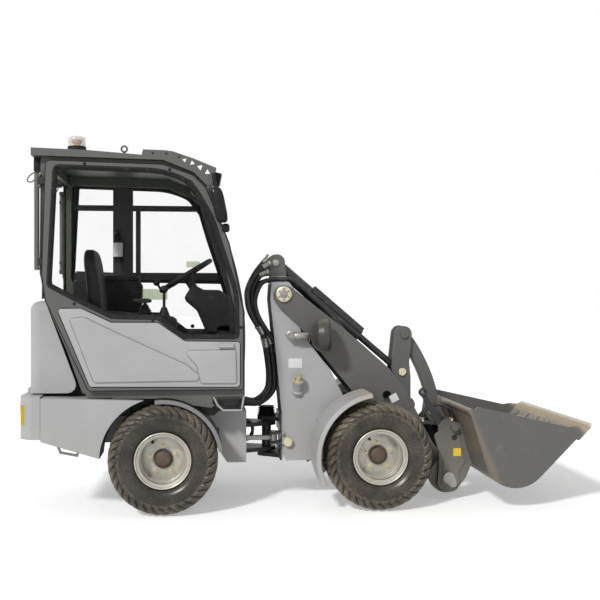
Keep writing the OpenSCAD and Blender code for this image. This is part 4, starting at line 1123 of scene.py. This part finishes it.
BOTTLE = [[28, 0], [32, 6], [32, 160], [26, 178], [14, 188], [14, 200], [20, 203], [20, 214], [6, 217]]
BOTTLE_BAND = [[32.6, 30], [32.8, 31], [32.8, 125], [32.6, 126]]
DASH = [[120, 1300, 20], [172, 1388, 24], [243, 1350, 30], [347, 1348, 40], [440, 1284, 40], [440, 1062, 20],
        [262, 1068, 40], [200, 1215, 60], [130, 1275, 20]]
SIDE_BOX = [[-650, 738.3, 4], [-200, 738.3, 4], [-172, 1380, 40], [-200, 1420, 30], [-640, 1420, 30]]
LEFT_RAIL = [[-640, 1411, 4], [430, 1394, 4], [425, 1446, 4], [-640, 1484, 4]]
PILLAR_TRIM = [[470, 1060, 10], [466, 1330, 300], [330, 1780, 500], [190, 2000, 40], [120, 2000, 20],
               [211, 1881, 80], [263, 1705, 400], [333, 1494, 400], [392, 1300, 200], [400, 1060, 10]]


class LOADER_OT_cab_trim(bpy.types.Operator):
    """Lamp lenses, mirrors, beacon, roof bolts, window seals and what stands in the cab"""
    bl_idname = "loader.cab_trim"
    bl_label = "Cab trim"

    def execute(self, context):
        left, right = (0.0, 1.0, 0.0), (0.0, -1.0, 0.0)
        piece("work_lamp_lenses", both(lambda s: [
            plate([345.6, s * 405, 2018], (82, 64), 3, 10, left, LAMP_TILT),
            plate([-768.2, s * 395, 2096], (80, 68), 3, 10, right)]), look="clear_lens")
        piece("mirror_glass", both(lambda s: [
            plate([325.4, s * MIRROR_Y, 1850], (94, 190), 2, 14, right, MIRROR_TILT)]), look="mirror")
        heads = both(lambda s: [studs(here([[x, s * 535, z] for x, z in VISOR_BOLTS]), (0.0, s, 0.0), 5, 6)])
        piece("visor_bolts", heads, look="black", smooth=30.0)
        screen = spline(here(SCREEN_EDGE), 10)
        strips = both(lambda s: [swept(screen + [0.0, s * 0.444, 0.0], ring(12, 0.009))])
        strips += [bar([REAR_PANE_X, -446, z], [REAR_PANE_X, 446, z], 0.008, AXES["z"]) for z in REAR_PANE_Z]
        low, high = ([REAR_PANE_X, 444, z] for z in REAR_PANE_Z)
        strips += both(lambda s: [bar(*np.multiply([low, high], [1.0, s, 1.0]), 0.008, AXES["y"])])
        piece("window_seals", strips, look="seal")
        self.roof_top()
        self.left_side()
        self.front()
        return {"FINISHED"}

    def roof_top(self):
        foot = here([-529, -330, 2176.6])
        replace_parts(piece("beacon_base", turned(BEACON_BASE, foot, "z")), "beacon")
        piece("beacon_cup", turned(BEACON_CUP, foot, "z"), look="beacon")
        piece("beacon_core", turned(BEACON_CORE, foot, "z", 32), look="amber")
        heights = np.linspace(1462, 2036, 20)
        piece("hinge_covers", both(lambda s: [
            swept(here([[-739, s * 508, z] for z in heights]), ring(16, 0.0155))]), look="dark")
        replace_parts(piece("mirror_shells", both(self.mirror), smooth=60.0), "mirrors")
        for side, sign in zip(("right", "left"), SIDES):
            tube("lamp_wire_" + side, spline(here(LAMP_WIRE) * [1.0, sign, 1.0]), WIRE_RADIUS, "chassis", 10)

    def mirror(self, s):
        y = s * MIRROR_Y
        arm = spline(here([[318, y, 1950], [306, s * 575, 1990], [299, s * 565, 2040]]))
        return [pillow([316, y - 52, 1745], [392, y + 52, 1955], (0.5, 0.6), lean=-0.2),
                swept(arm, ring(12, 0.011)),
                turned(MIRROR_CUP, here([372, s * 560, 1700]), "z", 20)]

    def left_side(self):
        """Bottle and blank sheets on the left door, its window bars, and the box beside the seat."""
        foot = here([-346, 425, 1552])
        clamps = [cut(block(-366, -326, z, z + 24, 3), 445, 500, 1) for z in (1590, 1680)]
        piece("pillar_bottle", [turned(BOTTLE, foot, "z", 32), *clamps], "left_door")
        piece("bottle_label", turned(BOTTLE_BAND, foot, "z", 32), "left_door", "white")
        sheets = [plate([-104, 511, 1322], (190, 75), 0.6, 2),
                  plate([171, 511, 1534], (95, 42), 0.6, 2, up=(0.05, 0.0, 1.0))]
        piece("paper_sheets", sheets, "left_door", "paper")
        piece("dash_cover", cut(DASH, -150, 150, 20, 6, 8))
        piece("side_box", cut(SIDE_BOX, 310, 430, 15, 5, 8))
        rest = pillow([-560, 305, 1405], [-190, 435, 1452], (0.5, 0.3), crown=6)
        piece("arm_rest", rest, look="vinyl", smooth=60.0)
        bars = [cut(block(-386, -250, 1176, 1474, 4), 498, 508, 2), cut(LEFT_RAIL, 497, 507, 2)]
        piece("window_post", bars, "left_door", "seal")

    def front(self):
        """Trim on the front pillars and the lever beside the seat."""
        piece("pillar_trim", both(lambda s: [cut(PILLAR_TRIM, s * 462, s * 482, 6, 4, 8)]))
        foot = here([-116, -350, 1194])
        cover = turned(boot([1, 0], [1, 70], (0, 68), 50, 36, 5), foot, "z", 28)
        stick = turned([[9, 60], [9, 85], [1, 86]], foot, "z", 14)
        grip = pillow([-188, -366, 1266], [-73, -334, 1294], (0.6, 0.5), lean=-0.2)
        piece("lever_boot", [cover, stick, grip], look="seal")


JOINT_HOSE_RADIUS = 0.0095
# Outline of the black sheets that fill the steps' openings as painted shade.
STEP_SHADE_SHEET = [[288, 698, 2], [300, 640, 4], [330, 622, 4], [476, 624, 4], [490, 698, 2]]
CORNER_STRIP = [[-662, 1240, 4], [-606, 1240, 4], [-424, 725, 4], [-478, 725, 4]]
PIVOT_X, PIVOT_Z = 753.0, 1321
PIVOT_BOSS = np.array([[24, 0], [24, 3], [20, 6], [12, 6], [12, 13], [9, 15]])
PIVOT_RIM = [[50, 0], [50, 4], [46, 7], [26, 7], [24, 4.6], [1, 4.6]]
LOW_PIN = [[30, 0], [30, 6], [27, 9], [6, 9], [5, 4], [1, 4]]
NECK_LEAN = math.radians(32)
NECK_WELD = [[31, 16], [37, 18], [38, 24], [31, 32]]
NECK_COLLAR = [[31.5, 86], [35, 88], [35, 99], [31.5, 100]]
NECK_CAP = [[26, 140], [26, 142], [14, 143], [12, 147], [1, 147.5]]
CAP_GRIP = [[3, 0], [3, 12], [2, 13]]
LAMP_DISC = [[34, 0], [34, 8], [30, 11], [18, 11], [18, 24], [14, 28]]
LAMP_SLEEVE = [[22, 0], [24, 4], [24, 85], [20, 90]]
LAMP_LENS = [[94, 50], [80, 58], [50, 64], [1, 66]]
LAMP_RING = [[92, 50], [100, 54], [104, 60], [100, 64], [94, 60]]


class LOADER_OT_body_trim(bpy.types.Operator):
    """Bare plates, flanges, bolts and lamp glass on the chassis and the tower"""
    bl_idname = "loader.body_trim"
    bl_label = "Body trim"

    def execute(self, context):
        self.rear()
        self.tower()
        self.neck()
        self.headlamps()
        return {"FINISHED"}

    def step_rim(self, s):
        rim = here([[302, s * 492, 698], [325, s * 492, 650], [358, s * 541, 623], [469, s * 541, 623],
                    [484, s * 492, 698]])
        path = np.concatenate([np.linspace(a, b, 6)[:-1] for a, b in zip(rim[:-1], rim[1:])] + [rim[-1:]])
        return [swept(path, ring(8, 0.006), (0.3, 0.9, 0.3))]

    def rear(self):
        piece("step_rims", both(self.step_rim), look="light")
        # Black sheets in the steps' openings: painted shade.
        piece("step_shade_sheets", [cut(STEP_SHADE_SHEET, y, y + 4, 1) for y in (-456, 452)], look="black")
        piece("corner_strips", both(lambda s: [cut(CORNER_STRIP, s * 468, s * 478, 2)]), look="dark")
        folds = boot([30, 526], [30, 588], (527, 587), 56, 8, 6)
        piece("joint_boot", turned(folds, here([655, 0, 0]), "z", 40), look="seal")
        for i, (y, drop) in enumerate(((-112, 0), (-91, 14), (-70, 6))):
            rows = [[508, y, 505], [532, y, 503 - drop], [556, y + 6, 472 - drop], [557, y + 10, 430 - drop],
                    [536, y + 12, 396 - drop], [508, y + 12, 392 - drop]]
            tube(f"joint_hose_{i + 1}", spline(here(rows)), JOINT_HOSE_RADIUS, "chassis", 14)
        piece("rear_marks", both(lambda s: [
            plate([-812.7, s * 517.7, 608], (42, 114), 1.5, 3, (s, -1.0, 0.0))]), look="yellow")

    def tower(self):
        a = np.radians(30 + 60 * np.arange(6))
        x, z = PIVOT_X + 35 * np.cos(a), PIVOT_Z + 35 * np.sin(a)
        piece("pivot_bolts", both(lambda s: [
            studs(here(np.stack([x, np.full(6, s * 211), z], -1)), (0.0, s, 0.0), 5, 7),
            turned(PIVOT_BOSS, here([PIVOT_X, s * 209.5, PIVOT_Z]), (0.0, s, 0.0), 24),
            turned(PIVOT_BOSS * [0.92, 0.8], here([710, s * 81.5, 1525]), (0.0, s, 0.0), 24)]),
            "front_unit", "steel", smooth=30.0)
        piece("pivot_flanges", both(lambda s: [
            turned(PIVOT_RIM, here([PIVOT_X, s * 205, PIVOT_Z]), (0.0, s, 0.0)),
            turned(LOW_PIN, here([780, s * 186, 374]), (0.0, s, 0.0), 40)]), "front_unit", "zinc")

    def neck(self):
        """Rings and a gripped cap on the filler neck, which leans to the right, and the blank plate above."""
        lean = np.array([0.0, -math.sin(NECK_LEAN), math.cos(NECK_LEAN)])
        over = np.cross(lean, AXES["x"])
        foot = here([844, -153, 678])
        piece("neck_rings", [turned(profile, foot, lean, 40) for profile in (NECK_WELD, NECK_COLLAR)],
              "front_unit", "light")
        spots = [foot + u * np.array(AXES["x"]) + v * over + lean * 0.1015 for u, v in ring(24, 0.0345)]
        grips = [turned(CAP_GRIP, spot, lean, 6) for spot in spots]
        piece("neck_cap_grip", [*grips, turned(NECK_CAP, foot, lean, 32)], "front_unit", "zinc")
        piece("tower_label", plate([829, -165.2, 877], (86, 60), 1, 2), "front_unit", "white")

    def headlamps(self):
        piece("lamp_flanges", both(lambda s: [
            turned(LAMP_DISC, here([805, s * 165, 1054]), (0.0, s, 0.0), 32),
            turned(LAMP_SLEEVE, here([820, s * 218, 1054]), "x", 24)]), "front_unit", "steel")
        for name, profile, look in (("lenses", LAMP_LENS, "clear_lens"), ("rings", LAMP_RING, "lamp")):
            shapes = both(lambda s: [turned(profile, here([970, s * 311, 1060]), "x")])
            piece("headlamp_" + name, shapes, "front_unit", look)


PIN_CAP = np.array([[1.0, 0.0], [1.0, 0.25], [0.9, 0.42], [0.3, 0.42], [0.25, 0.3], [0.03, 0.3]])
PIN_CAPS = (("lever_cap", "lever_unit", (1548, 84, 808), 26, "zinc"),
            ("link_cap", "link_pin_unit", (1564, 84, 1055), 27, "dark"),
            ("hitch_cap", "hitch_unit", (1747, 90, 545), 24, "zinc"))
LINK_SPINE = [[1564, 0, 1055], [1632, 0, 958], [1693, 0, 843], [1737, 0, 731], [1757, 0, 640], [1747, 0, 545]]
ARM_AHEAD = (0.89, 0.0, 0.455)
ARM_OVER = (-0.455, 0.0, 0.89)


class LOADER_OT_arm_trim(bpy.types.Operator):
    """Pin caps, the curved link, blank plates and the lever's ring on the arm and the hitch"""
    bl_idname = "loader.arm_trim"
    bl_label = "Arm trim"

    def execute(self, context):
        for name, body, (x, y, z), radius, look in PIN_CAPS:
            caps = both(lambda s: [turned(PIN_CAP * [radius, 14], here([x, s * y, z]), (0.0, s, 0.0), 36)])
            piece(name, caps, body, look)
        link = slab(strap(spline(here(LINK_SPINE)[:, [0, 2]]), 0.0385), -0.044, 0.044)
        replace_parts(piece("link_form", link, "link_unit", "dark"), "link")
        piece("arm_label_1", plate([1418, -195.2, 622], (50, 46), 1, 2, ARM_AHEAD, ARM_OVER), "arm", "black")
        piece("arm_label_2", plate([1470, -195.2, 649], (52, 50), 1, 2, ARM_AHEAD, ARM_OVER), "arm", "white")
        eye = here([1640, -285, 693]) + np.insert(ring(40, 0.021), 1, 0.0, axis=1)
        piece("lever_ring", swept(eye, ring(12, 0.0075), closed=True), "hitch_unit", "black")
        piece("hitch_mark", plate([1862, -291.2, 307], (50, 50), 1.2, 3), "hitch_unit", "yellow")
        return {"FINISHED"}


# Stage

CAMERA_PLACE = (221.9, -6240.5, 1296.4)
CAMERA_TURN = (90.0, 0.0, -6.0)
CAMERA_SHIFT = -2.0 / 600.0
SENSOR_WIDTH = 36.0
SUN_SPREAD = 7.0
SUN_TURN = (54.0, 0.0, -35.0)
FLOOR_RADII = np.array([0.0005, 4.0, 12.0, 60.0])
FLOOR_Z = -0.001
WHITE = (1.0, 1.0, 1.0, 1.0)


class LOADER_OT_stage(bpy.types.Operator):
    """Camera, lights and a pale floor"""
    bl_idname = "loader.stage"
    bl_label = "Stage"

    def execute(self, context):
        scene = context.scene
        scene.view_settings.view_transform = "Standard"
        data = bpy.data.cameras.new("camera")
        data.lens = sizes().camera_lens
        data.sensor_width = SENSOR_WIDTH
        data.shift_y = CAMERA_SHIFT
        data.clip_end = 200.0
        scene.camera = self.place(scene, data, CAMERA_TURN)
        scene.camera.location = here(CAMERA_PLACE)
        self.light_up(scene)
        self.lay_floor()
        return {"FINISHED"}

    def place(self, scene, data, turn):
        made = bpy.data.objects.new(data.name, data)
        made.rotation_euler = [math.radians(angle) for angle in turn]
        scene.collection.objects.link(made)
        return made

    def light_up(self, scene):
        sun = bpy.data.lights.new("key", "SUN")
        sun.energy = sizes().sun
        sun.angle = math.radians(SUN_SPREAD)
        self.place(scene, sun, SUN_TURN)
        scene.world = bpy.data.worlds.new("studio")
        scene.world.use_nodes = True
        graph = Graph(scene.world.node_tree)
        strength = graph.node("ShaderNodeMapRange", values={
            "Value": graph.seen(), "To Min": sizes().sky, "To Max": 1.0})
        back = graph.node("ShaderNodeBackground", values={"Color": WHITE, "Strength": strength})
        graph.node("ShaderNodeOutputWorld", values={"Surface": back}, out=None)

    def lay_floor(self):
        f = Finish("studio_floor")
        colour = f.mix(f.noise(0.8, 3.0), (0.94, 0.94, 0.94), (0.96, 0.96, 0.96))
        glow = f.mix(f.seen(), (0.0, 0.0, 0.0), (1.0, 1.0, 1.0))
        FINISHES["floor"] = f.surface(Base_Color=colour, Roughness=0.9, Emission_Color=glow,
                                      Emission_Strength=0.34)
        flat = FLOOR_RADII[:, None, None] * ring(64, 1.0)[None]
        points = np.concatenate([flat, np.full((*flat.shape[:2], 1), FLOOR_Z)], -1)
        piece("floor", grid(points, caps=False), None, "floor", smooth=0)


CLASSES = [LoaderPaint, LoaderSizes, LOADER_OT_stage, LOADER_OT_finishes, LOADER_OT_hoses, LOADER_OT_tyres,
           LOADER_OT_wheel_trim, LOADER_OT_seat, LOADER_OT_doors, LOADER_OT_cab_trim, LOADER_OT_body_trim,
           LOADER_OT_arm_trim]
STEPS = [c.bl_idname for c in CLASSES if issubclass(c, bpy.types.Operator)]


class LOADER_PT_panel(bpy.types.Panel):
    """Lists the steps of the loader's looks"""
    bl_label = "Compact loader"
    bl_idname = "LOADER_PT_panel"
    bl_space_type = "VIEW_3D"
    bl_region_type = "UI"
    bl_category = "Loader"

    def draw(self, context):
        for step in STEPS:
            self.layout.operator(step)


def register():
    for kind in CLASSES + [LOADER_PT_panel]:
        bpy.utils.register_class(kind)
    bpy.types.Scene.loader_paint = PointerProperty(type=LoaderPaint)
    bpy.types.Scene.loader_sizes = PointerProperty(type=LoaderSizes)


def unregister():
    del bpy.types.Scene.loader_paint
    del bpy.types.Scene.loader_sizes
    for kind in reversed(CLASSES + [LOADER_PT_panel]):
        bpy.utils.unregister_class(kind)


def run(step):
    group, name = step.split(".")
    getattr(getattr(bpy.ops, group), name)()


def main():
    register()
    for step in STEPS:
        run(step)


if __name__ == "__main__":
    main()
